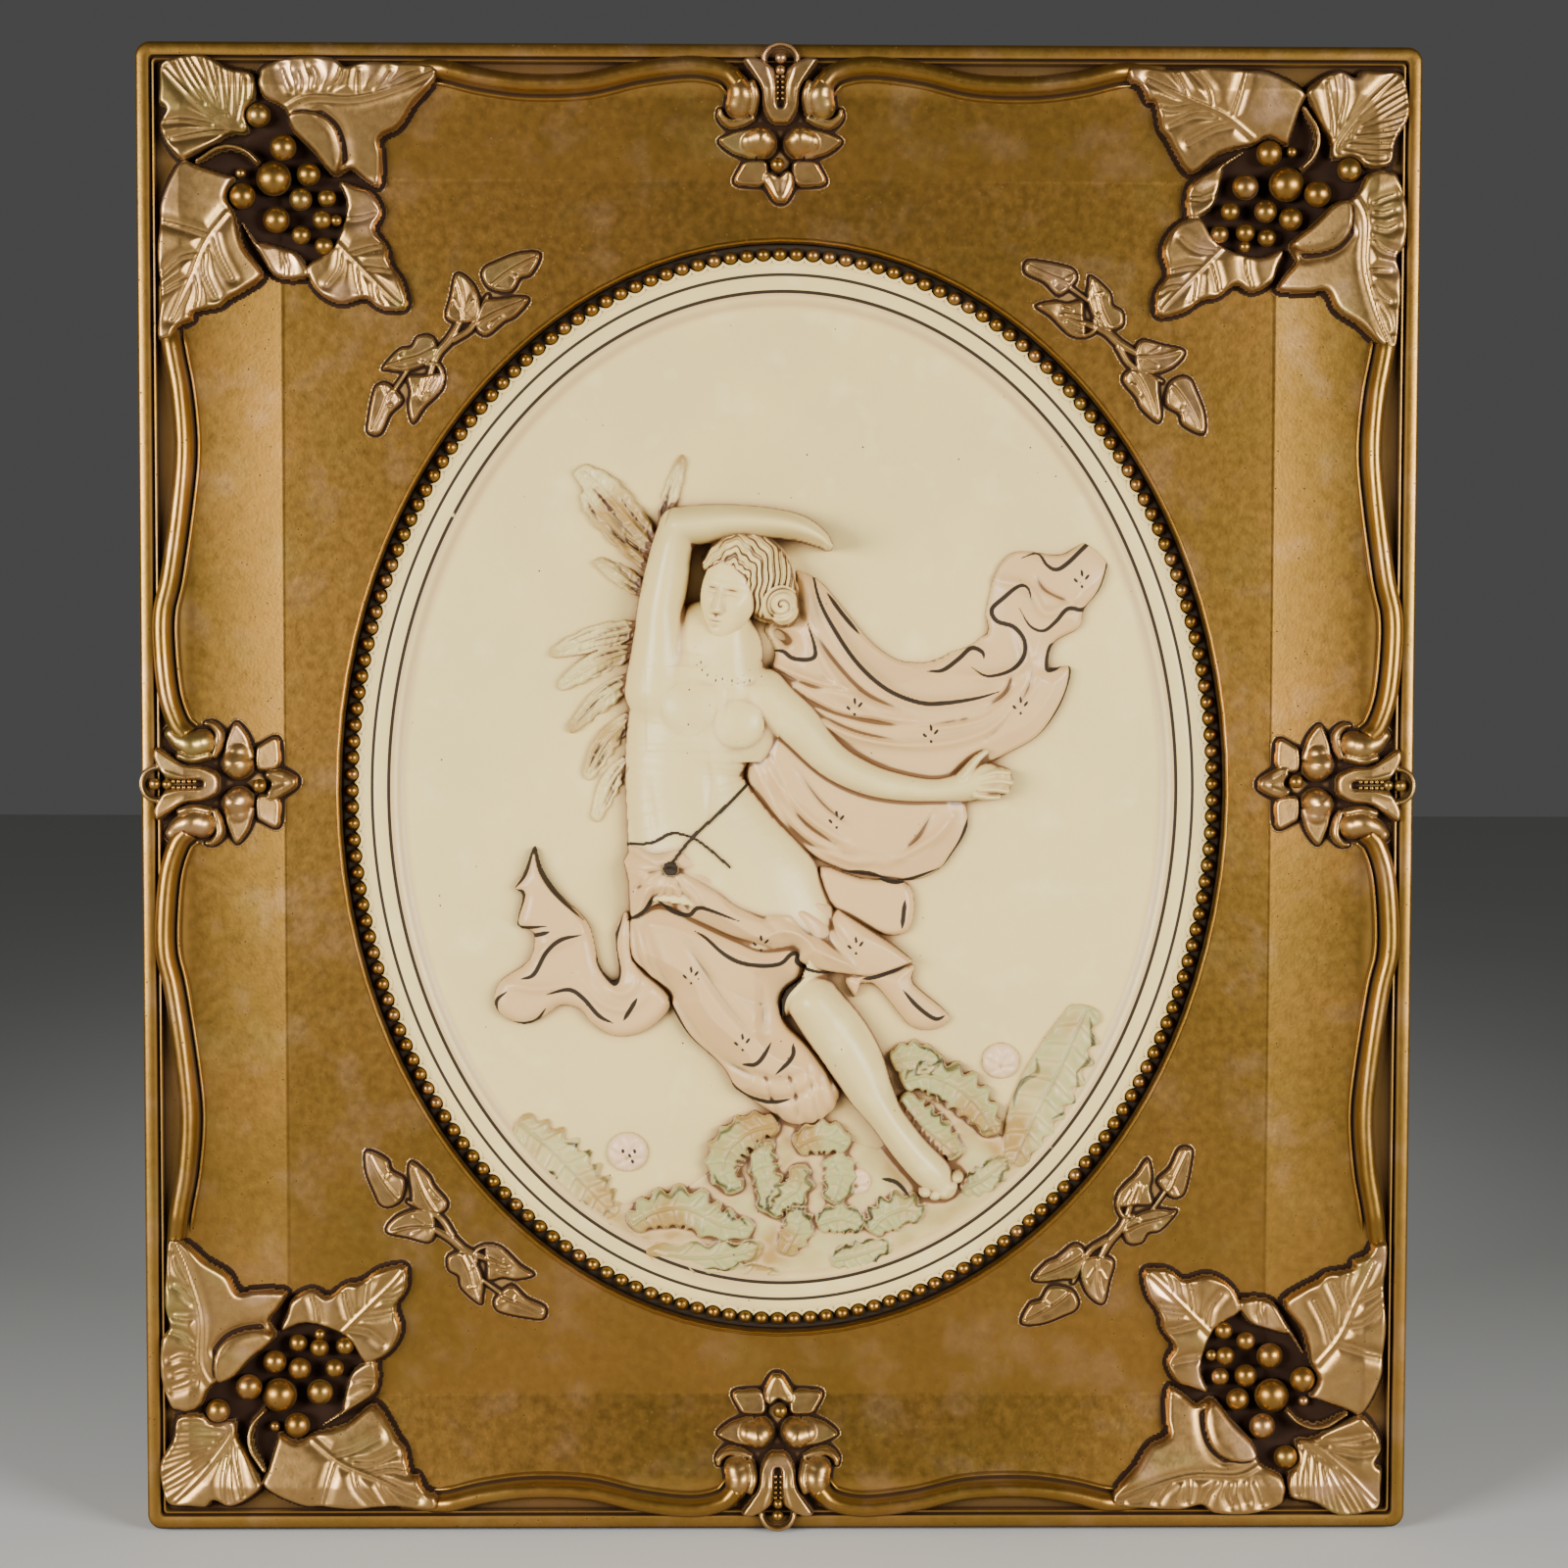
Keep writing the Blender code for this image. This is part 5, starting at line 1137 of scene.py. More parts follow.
BELT_CORDS = [
    [(635.6, 865), (663.7, 862), (684, 852), (704.5, 855.7), (722, 867), (744, 886)],
    [(762, 803), (732.6, 831.4), (705.8, 855.7), (686.6, 880)],
]
BELT_RADIUS = 0.0007
BELT_INK = 0.80
BROOCH_RADIUS = 0.0026

belt = figure.blank()
cords = [(through(drawn(cord)), BELT_RADIUS) for cord in BELT_CORDS]
cords.append((drawn([BROOCH, (BROOCH[0] + 1, BROOCH[1])]), BROOCH_RADIUS))
for path, radius in cords:
    spot, _, _, distance, _ = figure.near(path, 2 * radius)
    arch = np.sqrt(np.maximum(1 - (distance / radius) ** 2, 0))
    top = np.maximum(flesh, wrap)[spot] + radius * (0.4 + 0.7 * arch)
    belt[spot] = np.where(distance < radius, np.maximum(belt[spot], top), belt[spot])

# Veil. It hangs from her raised hand, swells out behind the other arm and curls over at its end.
# Pinkish wash, sharp folds along the arm, a dark painted line on each turned edge.

VEIL = [(814, 566), (834, 566), (852, 600), (877, 640), (901, 664), (925, 675), (947, 671), (969, 656),
        (1010, 646), (1005, 610), (1014, 581), (1040, 561), (1083, 564), (1102, 556), (1130, 541),
        (1137, 562), (1129, 597), (1112, 620), (1106, 640), (1080, 656), (1076, 680), (1096, 679),
        (1097, 694), (1085, 725), (1062, 754), (1022, 777), (990, 800), (992, 845), (975, 876), (960, 893),
        (935, 903), (900, 900), (858, 892), (812, 866), (780, 830), (760, 795), (772, 720), (790, 668),
        (780, 640), (806, 610)]
VEIL_BODY = [
    [(800, 640, 60, 7), (850, 700, 62, 8), (920, 740, 66, 7.5), (1000, 740, 80, 6), (1060, 690, 70, 5),
     (1080, 610, 66, 5)],
    [(790, 760, 60, 7), (850, 840, 66, 7.5), (940, 850, 66, 6.5)],
]
VEIL_TAIL = [(838, 888), (880, 900), (925, 904), (936, 925), (930, 955), (905, 960), (872, 945), (845, 925)]
VEIL_FOLDS = [
    [(828, 572), (836, 609), (853, 645), (877, 679), (930, 716), (998, 713), (1040, 690)],
    [(818, 580), (826, 640), (850, 690), (880, 715), (930, 733)],
    [(795, 680), (850, 705), (920, 738), (1000, 735), (1060, 690)],
    [(822, 728), (880, 755), (960, 760), (1020, 740), (1070, 690)],
    [(1020, 590), (1052, 600), (1070, 625), (1104, 610)],
    [(1040, 640), (1048, 675), (1020, 690), (980, 690)], [(768, 780), (800, 835), (860, 878), (900, 882)],
    [(785, 785), (815, 828), (870, 868)], [(975, 835), (950, 860), (905, 885)],
]
VEIL_INK = [
    [(827, 565), (835, 609), (853, 645), (877, 679), (906, 704), (938, 717), (964, 718), (998, 713),
     (1022, 706)],
    [(844, 604), (860, 626), (878, 647)],
    [(824, 636), (832, 665), (826, 673), (809, 672), (799, 665), (788, 664)],
    [(1045, 568), (1062, 563), (1071, 575), (1081, 580), (1093, 573), (1110, 557), (1129, 542), (1137, 561),
     (1129, 597), (1112, 620), (1093, 620), (1081, 633), (1068, 643), (1054, 638), (1043, 620)],
    [(1108, 639), (1097, 655), (1088, 659), (1076, 659), (1072, 682), (1081, 682), (1089, 676), (1097, 677),
     (1095, 701), (1083, 728), (1066, 752), (1042, 771), (1020, 776)],
    [(1055, 611), (1051, 599), (1042, 597), (1027, 609), (1015, 621), (1020, 633), (1037, 639), (1048, 653),
     (1047, 670), (1034, 684), (1010, 690), (994, 681)],
    [(1007, 672), (1005, 665), (994, 661), (981, 672), (964, 684), (948, 685)],
]
VEIL_RELIEF = [
    [(832, 568), (853, 602), (882, 645), (901, 665), (925, 673), (950, 667), (969, 655), (986, 651),
     (1005, 648)],
    [(1005, 616), (1022, 580), (1044, 562), (1066, 559), (1088, 563)], [(780, 675), (828, 694), (877, 706)],
    [(804, 689), (853, 723), (916, 736)], [(824, 711), (877, 738), (930, 742), (979, 735)],
    [(836, 738), (882, 754), (930, 762)],
]
VEIL_DROP_INK = [
    [(993, 835), (983, 863), (964, 892)], [(860, 893), (889, 895), (918, 904), (962, 890)],
    [(926, 923), (923, 952)], [(882, 1005), (898, 1002), (930, 990)],
    [(924, 1016), (939, 1033), (957, 1046), (968, 1044)],
]
SKIRT_INK = [
    [(521, 911), (532, 896), (541, 868), (548, 893), (564, 917), (592, 944)],
    [(522, 913), (530, 918), (523, 950), (554, 950)], [(535, 962), (557, 956)],
    [(528, 1005), (541, 1000), (554, 977), (569, 964), (590, 959)],
    [(513, 1018), (502, 1028), (503, 1043), (518, 1052), (541, 1050), (553, 1036)],
    [(554, 1021), (577, 1016), (592, 1025), (608, 1043), (623, 1051)], [(634, 1048), (648, 1025)],
    [(606, 965), (608, 990), (624, 1010), (629, 997), (625, 969), (633, 939)],
    [(638, 944), (656, 933), (665, 918)], [(669, 921), (684, 933), (702, 937), (715, 928), (754, 941)],
    [(708, 953), (720, 960), (740, 977), (761, 986), (794, 987), (807, 978), (814, 978), (815, 988),
     (837, 997), (868, 1000)],
    [(821, 1002), (804, 1018), (799, 1036), (805, 1053)], [(680, 1025), (702, 1066), (735, 1097)],
    [(757, 1092), (773, 1089), (787, 1069)], [(810, 1072), (809, 1084), (792, 1101)],
    [(745, 1113), (761, 1127), (786, 1133), (807, 1129)],
]
NECKLACE = [
    [(708, 660), (714, 676), (724, 686), (736, 693), (746, 695), (758, 689), (769, 679)],
    [(710, 679), (721, 689), (738, 699), (752, 698), (764, 695)],
]

VEIL_PLEATS = [
    [(780, 679), (824, 699), (877, 706)],
    [(811, 708), (853, 728), (901, 737), (950, 740), (998, 733), (1025, 718)],
    [(828, 725), (872, 747), (925, 759)], [(819, 713), (877, 737), (935, 742), (988, 733)],
    [(816, 626), (848, 670), (882, 706), (918, 725)], [(1059, 674), (1051, 706), (1034, 730), (1010, 755)],
    [(1037, 680), (1030, 705), (1012, 720)], [(1059, 585), (1071, 602), (1102, 616)],
    [(785, 774), (816, 834), (853, 864)], [(812, 786), (840, 822), (870, 846)],
    [(780, 796), (799, 834), (828, 864), (877, 878)], [(955, 830), (940, 855), (925, 870)],
]

VEIL_HOLLOW = [(786, 640), (798, 648), (808, 660)]

SAIL_BLEND = 0.003
VEIL_HEM = (0.0022, 0.5)
VEIL_TAIL_RISE = 0.0042
VEIL_TAIL_EDGE = 0.003
# Width and rise of a fold, a pleat, a turned edge and the hollow beside the face
VEIL_FOLD = (0.0017, 0.0019)
VEIL_PLEAT = (0.0010, -0.0014)
VEIL_EDGE = (0.0010, 0.0009)
VEIL_DIP = (0.0030, -0.0050)

sail = figure.blank()
for part in VEIL_BODY:
    figure.limb(sail, drawn(part), SAIL_BLEND)
veil = figure.blank()
figure.cloth(veil, sail, drawn(VEIL), *VEIL_HEM)
figure.pad(veil, drawn(VEIL_TAIL), VEIL_TAIL_RISE, VEIL_TAIL_EDGE)
for fold in VEIL_FOLDS:
    figure.line(veil, drawn(fold), *VEIL_FOLD)
for pleat in VEIL_PLEATS:
    figure.line(veil, drawn(pleat), *VEIL_PLEAT)
for edge in VEIL_RELIEF:
    figure.line(veil, drawn(edge), *VEIL_EDGE)
figure.line(veil, drawn(VEIL_HOLLOW), *VEIL_DIP, 0.001)

# Scarf end. The loose end of the wrap flies out at her hip and folds over twice. One casting with
# the ground, with the wrap's pinkish wash and dark lines on its turned edges.

SCARF = [(541, 867), (548, 890), (566, 917), (594, 944), (602, 965), (607, 990), (616, 1004), (624, 1008),
         (629, 998), (625, 958), (636, 935), (646, 950), (645, 985), (662, 1003), (682, 1024), (680, 1040),
         (660, 1058), (640, 1066), (620, 1065), (600, 1052), (588, 1038), (568, 1034), (553, 1044),
         (530, 1054), (504, 1042), (499, 1024), (508, 1006), (536, 986), (540, 958), (523, 950), (529, 920),
         (520, 910), (531, 893)]
SCARF_FOLDS = [
    [(541, 872), (550, 905), (580, 935), (598, 960)], [(535, 985), (560, 970), (590, 958)],
    [(604, 962), (612, 1000), (630, 1020), (648, 1005), (640, 960)],
    [(590, 1000), (612, 1030), (640, 1035), (664, 1015)], [(512, 1010), (545, 1015), (580, 1010)],
]

SCARF_RISE = 0.0050
SCARF_EDGE = 0.0045
SCARF_FOLD = (0.0016, 0.0014)

scarf = figure.blank()
figure.pad(scarf, drawn(SCARF), SCARF_RISE, SCARF_EDGE)
for fold in SCARF_FOLDS:
    figure.line(scarf, drawn(fold), *SCARF_FOLD)

# Leafy growth. Feathery leaves behind her shoulder, and ferns, curled leaves and poppies at her feet.
# Washed in pale green and ochre, with olive in the hollows.

# Spine, half width and lobes of each leaf in sheet units, and the height of its face in millimetres
WING_LEAVES = [
    ([(670, 562), (640, 530), (612, 498), (586, 476)], 15, 7, 3.2),
    ([(668, 585), (636, 552), (606, 520), (592, 500)], 10, 6, 2.8),
    ([(660, 606), (636, 590), (604, 570)], 9, 5, 2.4), ([(672, 545), (682, 505), (696, 462)], 7, 5, 2.0),
    ([(655, 640), (610, 650), (558, 668)], 11, 7, 2.8), ([(652, 662), (606, 678), (566, 703)], 10, 6, 2.6),
    ([(648, 690), (612, 714), (576, 748)], 10, 6, 2.4), ([(644, 730), (615, 760), (594, 798)], 10, 6, 2.2),
    ([(640, 775), (620, 802), (603, 842)], 9, 6, 2.0),
]
WING_STREAKS = [
    [(606, 500), (620, 520), (645, 550)], [(630, 505), (640, 520), (662, 545)],
    [(612, 528), (630, 546), (652, 562)], [(616, 540), (635, 552), (655, 562)], [(624, 576), (640, 588)],
    [(600, 655), (625, 650), (640, 648)], [(606, 700), (622, 688), (640, 676)], [(598, 740), (612, 725)],
    [(604, 790), (618, 768)],
]
BUSH_LEAVES = [
    ([(522, 1155), (560, 1187), (595, 1225), (625, 1257)], 17, 9, 1.3),
    ([(1118, 1033), (1092, 1093), (1064, 1148), (1040, 1202)], 20, 9, 1.6),
    ([(655, 1293), (700, 1299), (745, 1296), (782, 1287)], 11, 4, 2.2),
    ([(850, 1302), (880, 1296), (915, 1284)], 10, 5, 1.8),
    ([(700, 1312), (750, 1316), (800, 1318)], 9, 5, 1.6),
    ([(985, 1228), (1010, 1216), (1037, 1193)], 10, 5, 1.8),
    ([(835, 1264), (860, 1257), (886, 1266)], 11, 5, 2.6),
    ([(800, 1296), (815, 1268), (812, 1242)], 11, 5, 3.0),
    ([(890, 1272), (905, 1256), (928, 1247), (948, 1256)], 13, 6, 2.8),
    ([(640, 1266), (665, 1250), (700, 1246), (732, 1262), (770, 1270)], 14, 8, 3.6),
    ([(850, 1190), (860, 1213), (850, 1242)], 12, 5, 3.2),
    ([(818, 1200), (815, 1225), (797, 1238), (788, 1256)], 11, 6, 3.8),
    ([(783, 1172), (779, 1198), (785, 1224), (780, 1252)], 10, 6, 3.6),
    ([(795, 1158), (768, 1164), (745, 1182), (738, 1206), (754, 1230)], 13, 8, 4.4),
    ([(812, 1182), (840, 1171), (870, 1181)], 12, 5, 4.0),
    ([(912, 1094), (936, 1088), (966, 1097)], 11, 5, 3.4),
    ([(922, 1128), (940, 1152), (963, 1173), (985, 1193)], 13, 7, 3.6),
    ([(922, 1113), (950, 1106), (980, 1118), (1005, 1141), (1022, 1170)], 14, 8, 4.0),
]
POPPIES = [(637, 1188, 21, 3.4), (1027, 1092, 19, 3.4), (877, 1219, 15, 3.2)]
POPPY_STEMS = [
    [(650, 1209), (657, 1216), (661, 1225)], [(1030, 1116), (1034, 1138), (1029, 1160)],
    [(903, 1216), (919, 1220), (932, 1234)],
]
POPPY_HEARTS = [(633, 1186), (640, 1191), (643, 1197), (645, 1186)]
MOUND = [(520, 1170), (600, 1240), (700, 1225), (800, 1150), (900, 1185), (960, 1130), (1030, 1170),
         (1100, 1080), (1110, 1120), (1030, 1225), (930, 1290), (800, 1318), (680, 1300), (590, 1250)]

RUFFLE_DEPTH = 0.00026
MOUND_RISE = 0.0012
MOUND_EDGE = 0.010
RANDOM_SEED = 4
BUSH_LEAF_SPREAD = 1.75
WING_LEAF_SPREAD = 1.3
WING_LEAF_FLATTENING = 0.8
WING_LEAF_NOTCH = 0.15
WING_STREAKS_PER_LEAF = 7
# Width and rise of the fine lines between the vanes, of the streaks, and of a petal's furrow
VANE_LINE = (0.0006, -0.0007)
STREAK_LINE = (0.0009, -0.0012)
PETAL_FURROW = (0.0008, -0.0008)
PETAL_ANGLES = (20, 75, 130, 190, 250, 310)

growth = figure.blank()
figure.pad(growth, drawn(MOUND), MOUND_RISE, MOUND_EDGE)
rng = np.random.default_rng(RANDOM_SEED)
olive = np.zeros(growth.shape)
streaks = np.zeros(growth.shape)
for spine, half_width, lobes, rise in BUSH_LEAVES:
    edge = figure.frond(growth, drawn(spine), BUSH_LEAF_SPREAD * half_width * figure_unit, lobes, rise * MM)
    for start in range(0, len(edge) - 14, 12):
        if rng.random() < 0.72:
            inset = edge[start:start + 14:3] + 0.12 * (edge.mean(axis=0) - edge[start:start + 14:3])
            figure.stroke(olive, inset, rng.uniform(0.0010, 0.0018))
for spine, half_width, lobes, rise in WING_LEAVES:
    half_width *= WING_LEAF_SPREAD * figure_unit
    rise *= WING_LEAF_FLATTENING * MM
    edge = figure.frond(growth, drawn(spine), half_width, lobes, rise, WING_LEAF_NOTCH)
    middle = through(drawn(spine), 12)
    for number in range(WING_STREAKS_PER_LEAF):
        start = rng.integers(2, len(middle) - 10)
        shift = rng.uniform(-0.8, 0.8)
        if shift > 0:
            beside = edge[start:][:9:4]
        else:
            beside = edge[-start - 9:][:9:4][::-1]
        line = middle[start:start + 9:4] * (1 - abs(shift)) + beside * abs(shift)
        figure.stroke(streaks, line, rng.uniform(0.0005, 0.0009))
        figure.line(growth, line, *VANE_LINE)
poppies = figure.blank()
for poppy in POPPIES:
    figure.limb(poppies, dot(*poppy))
    x, y, radius, _ = poppy
    for turn in np.radians(PETAL_ANGLES):
        tip = (x + 0.9 * radius * np.cos(turn), y + 0.9 * radius * np.sin(turn))
        figure.line(poppies, drawn([(x, y + 0.3 * radius), tip]), *PETAL_FURROW)
ruffle = np.zeros(growth.shape)
for size, share in ((5, 1.0), (2, 0.7)):
    ruffle += share * soften(rng.normal(size=growth.shape), size) * size
ruffle *= RUFFLE_DEPTH / ruffle.std() * np.clip(growth / 0.002, 0, 1)
growth = np.where(growth > 0.0004, growth + ruffle, growth)
for streak in WING_STREAKS:
    figure.line(growth, drawn(streak), *STREAK_LINE)

# Parts of the relief. Each is shown where it lies near the front, and reaches down into the ground
# that it is cast with. Ivory glaze, pinkish, green or ochre washes, and thin painted lines on top.

LINE_WIDTH = 0.0015
DASH_WIDTH = 0.0009
BEAD_DOT_WIDTH = 0.0011
HEART_DOT_WIDTH = 0.0010
STREAK_INK = 0.50
OVERLAP = 0.0010
CLOTH_MARKS = [(872, 720), (951, 748), (1044, 719), (1107, 588), (854, 837), (776, 963), (704, 997),
               (757, 1066), (874, 967)]
MARK_DASHES = [[(-8, 1), (-4, 5)], [(0, -8), (1, -1)], [(8, -3), (4, 2)], [(0, 8), (1, 11)]]

parts = {"dancer_body": flesh, "skirt": skirt, "wrap": wrap, "belt": belt, "veil": veil, "scarf_end": scarf,
         "leafy_growth": growth, "poppies": poppies}
front = np.maximum.reduce(list(parts.values()))
# Brown stain and painted shade in the relief's dents.
dents = hollows(np.maximum(front, 0), FIGURE_PITCH, 0.0007, 0.0024, 0.0007)
ink = np.zeros(front.shape)
for stroke in [*VEIL_INK, *VEIL_DROP_INK, *SKIRT_INK, *POPPY_STEMS]:
    figure.stroke(ink, drawn(stroke), LINE_WIDTH)
for streak in WING_STREAKS:
    figure.stroke(streaks, drawn(streak), DASH_WIDTH)
ink = np.maximum(ink, STREAK_INK * streaks)
clouds = soften(rng.normal(size=growth.shape), 9)
clouds = np.clip(0.5 + 0.5 * clouds / clouds.std(), 0, 1)
ochre = np.clip(1.2 * clouds - 0.35, 0, 1) * 0.9
olive *= 0.5 + 0.5 * (1 - clouds)
for x, y in POPPY_HEARTS:
    figure.stroke(ink, drawn([(x - 1, y - 2), (x + 1, y + 2)]), HEART_DOT_WIDTH)
for x, y in CLOTH_MARKS:
    for dash in MARK_DASHES:
        figure.stroke(ink, drawn([(x + dx, y + dy) for dx, dy in dash]), DASH_WIDTH)
for strand in NECKLACE:
    line = through(drawn(strand), 12)
    for bead in line[::6]:
        figure.stroke(ink, np.array([bead, bead + (0.0002, 0.0)]), BEAD_DOT_WIDTH)


def figure_glaze(name, reach, start, end, tints=()):
    """Glaze of one part of the relief: brown stain and painted shade in its dents and nooks, with its painted
    lines.
    """
    def shade(glaze):
        return glaze.sums("MAXIMUM", glaze.stored("shade"), glaze.ramp(glaze.nook(reach), start, end))
    return ivory(name, shade, lambda glaze: glaze.stored("ink"), tints)


skin_glaze = figure_glaze("ivory_skin", 0.006, 0.35, 1.2)
cloth_glaze = figure_glaze("ivory_drapery", 0.006, 0.3, 1.1, [("tint", 200, 156, 104)])
leaf_glaze = figure_glaze("ivory_growth", 0.005, 0.3, 1.1,
                          [("tint", 140, 142, 84), ("ochre", 150, 108, 44), ("olive", 58, 50, 12)])
petal_glaze = figure_glaze("ivory_petals", 0.005, 0.4, 1.2, [("tint", 218, 176, 140)])
glazes = {"dancer_body": skin_glaze, "belt": skin_glaze, "leafy_growth": leaf_glaze, "poppies": petal_glaze}
for name, own in parts.items():
    others = np.maximum.reduce([other for key, other in parts.items() if key != name])
    shown = cells_above(np.where(own > others - OVERLAP, own, FAR_BELOW), -0.0006)
    layers = {"shade": dents, "ink": ink, "tint": np.clip(own / 0.002, 0, 1) * 0.8}
    if name == "leafy_growth":
        layers["ochre"] = ochre * np.clip(own / 0.001, 0, 1)
        layers["olive"] = olive
        layers["tint"] = layers["tint"] * np.clip(-figure.z[:, None] / 0.05, 0.25, 1)
    if name == "belt":
        layers["ink"] = np.full(own.shape, BELT_INK)
    body = carved(figure, GROUND_LEVEL + np.maximum(own, -OVERLAP), shown, FIGURE_ROOT, layers)
    piece_of(name, body, glazes.get(name, cloth_glaze), "relief_medallion")

# Medallion body. Flange, bead channel, border and ground are one ceramic face around the relief. Two
# dark lines are painted on the border, and the ground is browned where it meets the relief, brown
# stain and painted shade round the relief's foot.

# Least height of the relief that browns the ground beside it with painted shade, how far, and how much
HALOS = [(0, 0.0014, 0.40), (0.003, 0.0040, 0.55)]

angles = np.linspace(0, 2 * np.pi, OVAL_POINTS, endpoint=False)
inner_rings = [(-margin, GROUND_LEVEL, 0.0, 0.0)
               for margin in np.arange(GROUND_START, BEAD_RING_HALF_WIDTH, GROUND_RING_STEP)]
section = np.array([*MEDALLION_SECTION, *inner_rings])
rings = [at_level(oval_line(margin, angles), level) for margin, level in section[:, :2]]
ink = np.repeat(section[:, 2:3], OVAL_POINTS, axis=1)
shade = np.repeat(section[:, 3:4], OVAL_POINTS, axis=1)
halo = np.zeros(front.shape)
for least_rise, reach, depth in HALOS:
    halo += soften((front > least_rise).astype(float), round(reach / FIGURE_PITCH)) * depth
for number, ring in enumerate(rings):
    column = np.clip(np.searchsorted(figure.x, ring[:, 0]), 0, len(figure.x) - 1)
    row = np.clip(np.searchsorted(figure.z, ring[:, 2]), 0, len(figure.z) - 1)
    shade[number] = np.maximum(shade[number], halo[row, column])
# The ground takes brown stain and painted shade round the relief and in its nooks.
ground_glaze = ivory("ivory_ground",
    lambda glaze: glaze.sums("ADD", glaze.stored("shade"), glaze.ramp(glaze.nook(0.008), 0.25, 1.15)),
    lambda glaze: glaze.sums("MULTIPLY", glaze.stored("ink"), glaze.ramp(glaze.noise(0.006, 3), 0.15, 0.36)))
piece_of("medallion_ground", swept(rings, {"ink": ink, "shade": shade}), ground_glaze, "relief_medallion")

# Head. A calm young woman's head in three-quarter view, leaning a little, set in the bend of the
# raised arm. The face has plain proportions, with the eyes halfway down; wavy hair rolls to a bun.

HEAD_PITCH = 0.0002
HEAD_LOW = (-0.0330, 0.0450)
HEAD_HIGH = (0.0110, 0.0900)
HEAD_MIDDLE = (743, 606)
HEAD_TILT = 10.0
FACE_HALF_WIDTH = 0.0096
FACE_HALF_HEIGHT = 0.0160
FACE_TURN = -0.30
# Across and half width of each eye, in shares of the face's half width, from the way it is turned
EYES = [(-0.34, 0.17), (0.40, 0.22)]
# Socket, ball, lower lid and upper lid: up, width in eye widths, half height, and rise in millimetres
EYE_FORMS = [(0.02, 1.3, 0.10, -1.5), (0.00, 0.85, 0.055, 1.2), (-0.035, 0.9, 0.014, -0.45),
             (0.075, 0.95, 0.016, -0.35)]
# Nostrils, dip of the lip, lips, the line between them, the dip below, chin and cheek, laid out alike
LOWER_FACE = [
    (-0.15, -0.38, 0.055, 0.04, 0.9), (0.13, -0.38, 0.055, 0.04, 0.9), (-0.02, -0.52, 0.05, 0.06, -0.35),
    (-0.03, -0.575, 0.20, 0.035, 0.75), (-0.03, -0.665, 0.16, 0.040, 0.85),
    (-0.03, -0.620, 0.22, 0.013, -0.9), (-0.03, -0.745, 0.16, 0.035, -0.5), (-0.02, -0.86, 0.20, 0.09, 0.8),
    (0.68, -0.25, 0.25, 0.20, 0.5),
]
HAIR_FORMS = [
    [(758, 572, 38, 17), (776, 588, 36, 17), (786, 606, 30, 16)], [(796, 612, 20, 17), (800, 624, 17, 16)],
    [(722, 576, 8, 14), (736, 564, 14, 17), (756, 558, 18, 18.5)],
]
HAIR_WAVES = 5.0
BUN_MIDDLE = (797, 618)
BUN_RADIUS = 0.0068

head = Carving(HEAD_LOW, HEAD_HIGH, HEAD_PITCH)
x, z = np.meshgrid(head.x, head.z)
(middle_x, middle_z), = drawn([HEAD_MIDDLE])
tilt = np.radians(HEAD_TILT)
across = ((x - middle_x) * np.cos(tilt) - (z - middle_z) * np.sin(tilt)) / FACE_HALF_WIDTH
up = ((x - middle_x) * np.sin(tilt) + (z - middle_z) * np.cos(tilt)) / FACE_HALF_HEIGHT
jaw = 1 - 0.30 * np.clip(-up, 0, 1) ** 2.2
round_share = np.clip((across / jaw) ** 2 + up**2, 0, 1)
face = np.where(round_share < 1, 10.0 + 7.0 * np.sqrt(1 - round_share), -50.0)
turned = FACE_TURN - 0.06 * np.clip(-up, 0, 1)


def bump_at(mid_across, mid_up, wide, high, rise):
    return rise * np.exp(-(((across - mid_across) / wide) ** 2) - ((up - mid_up) / high) ** 2)


side = across - turned
face += bump_at(FACE_TURN + 0.1, 0.16, 0.75, 0.07, 0.5)
for eye, wide in EYES:
    for up_from_eye, width_share, high, rise in EYE_FORMS:
        face += bump_at(FACE_TURN + eye, up_from_eye, wide * width_share, high, rise)
nose = np.clip((0.12 - up) / 0.50, 0, 1)
face += np.where(up > -0.42, 1, np.exp(-(((up + 0.42) / 0.03) ** 2))) * np.exp(
    -((side / (0.07 + 0.09 * nose)) ** 2)) * (0.5 + 2.4 * nose) * (up < 0.3) * np.clip((0.3 - up) / 0.2, 0, 1)
for from_middle, *form in LOWER_FACE:
    face += bump_at(FACE_TURN + from_middle, *form)
face = np.where(round_share < 0.999, face * MM, FAR_BELOW)

hair = head.blank()
for part in HAIR_FORMS:
    head.limb(hair, drawn(part), blend=0.001)
parting = (across > -0.72 + 0.35 * (1 - up)) | (up > 0.62)
hair = np.where(parting & ((across / jaw) ** 2 + up**2 < 1.7) | (hair > face), hair, FAR_BELOW)
brow_line = 0.58 - 0.25 * (across - FACE_TURN) ** 2
face_front = (across < 0.52 + 0.18 * up) & (up < brow_line) & (round_share < 0.999)
hair = np.where(face_front, FAR_BELOW, hair)
turn = np.arctan2(up, across)
flow = np.hypot(across, up) + 0.055 * np.sin(6 * turn + 0.8) + 0.025 * np.sin(15 * turn)
locks = 0.00065 * np.sin(2 * np.pi * HAIR_WAVES * flow)
locks = locks + 0.00030 * np.sin(2 * np.pi * 2.6 * HAIR_WAVES * flow + 2 * turn)
(bun_x, bun_z), = drawn([BUN_MIDDLE])
from_bun = np.hypot(x - bun_x, z - bun_z) / BUN_RADIUS
round_bun = np.arctan2(z - bun_z, x - bun_x)
coils = 0.0007 * np.sin(2 * np.pi * 1.9 * from_bun + round_bun)
coils = coils + 0.0003 * np.sin(2 * np.pi * 5 * from_bun + 2 * round_bun)
coils = coils + 0.0016 * np.sqrt(np.clip(1 - from_bun**2, 0, 1))
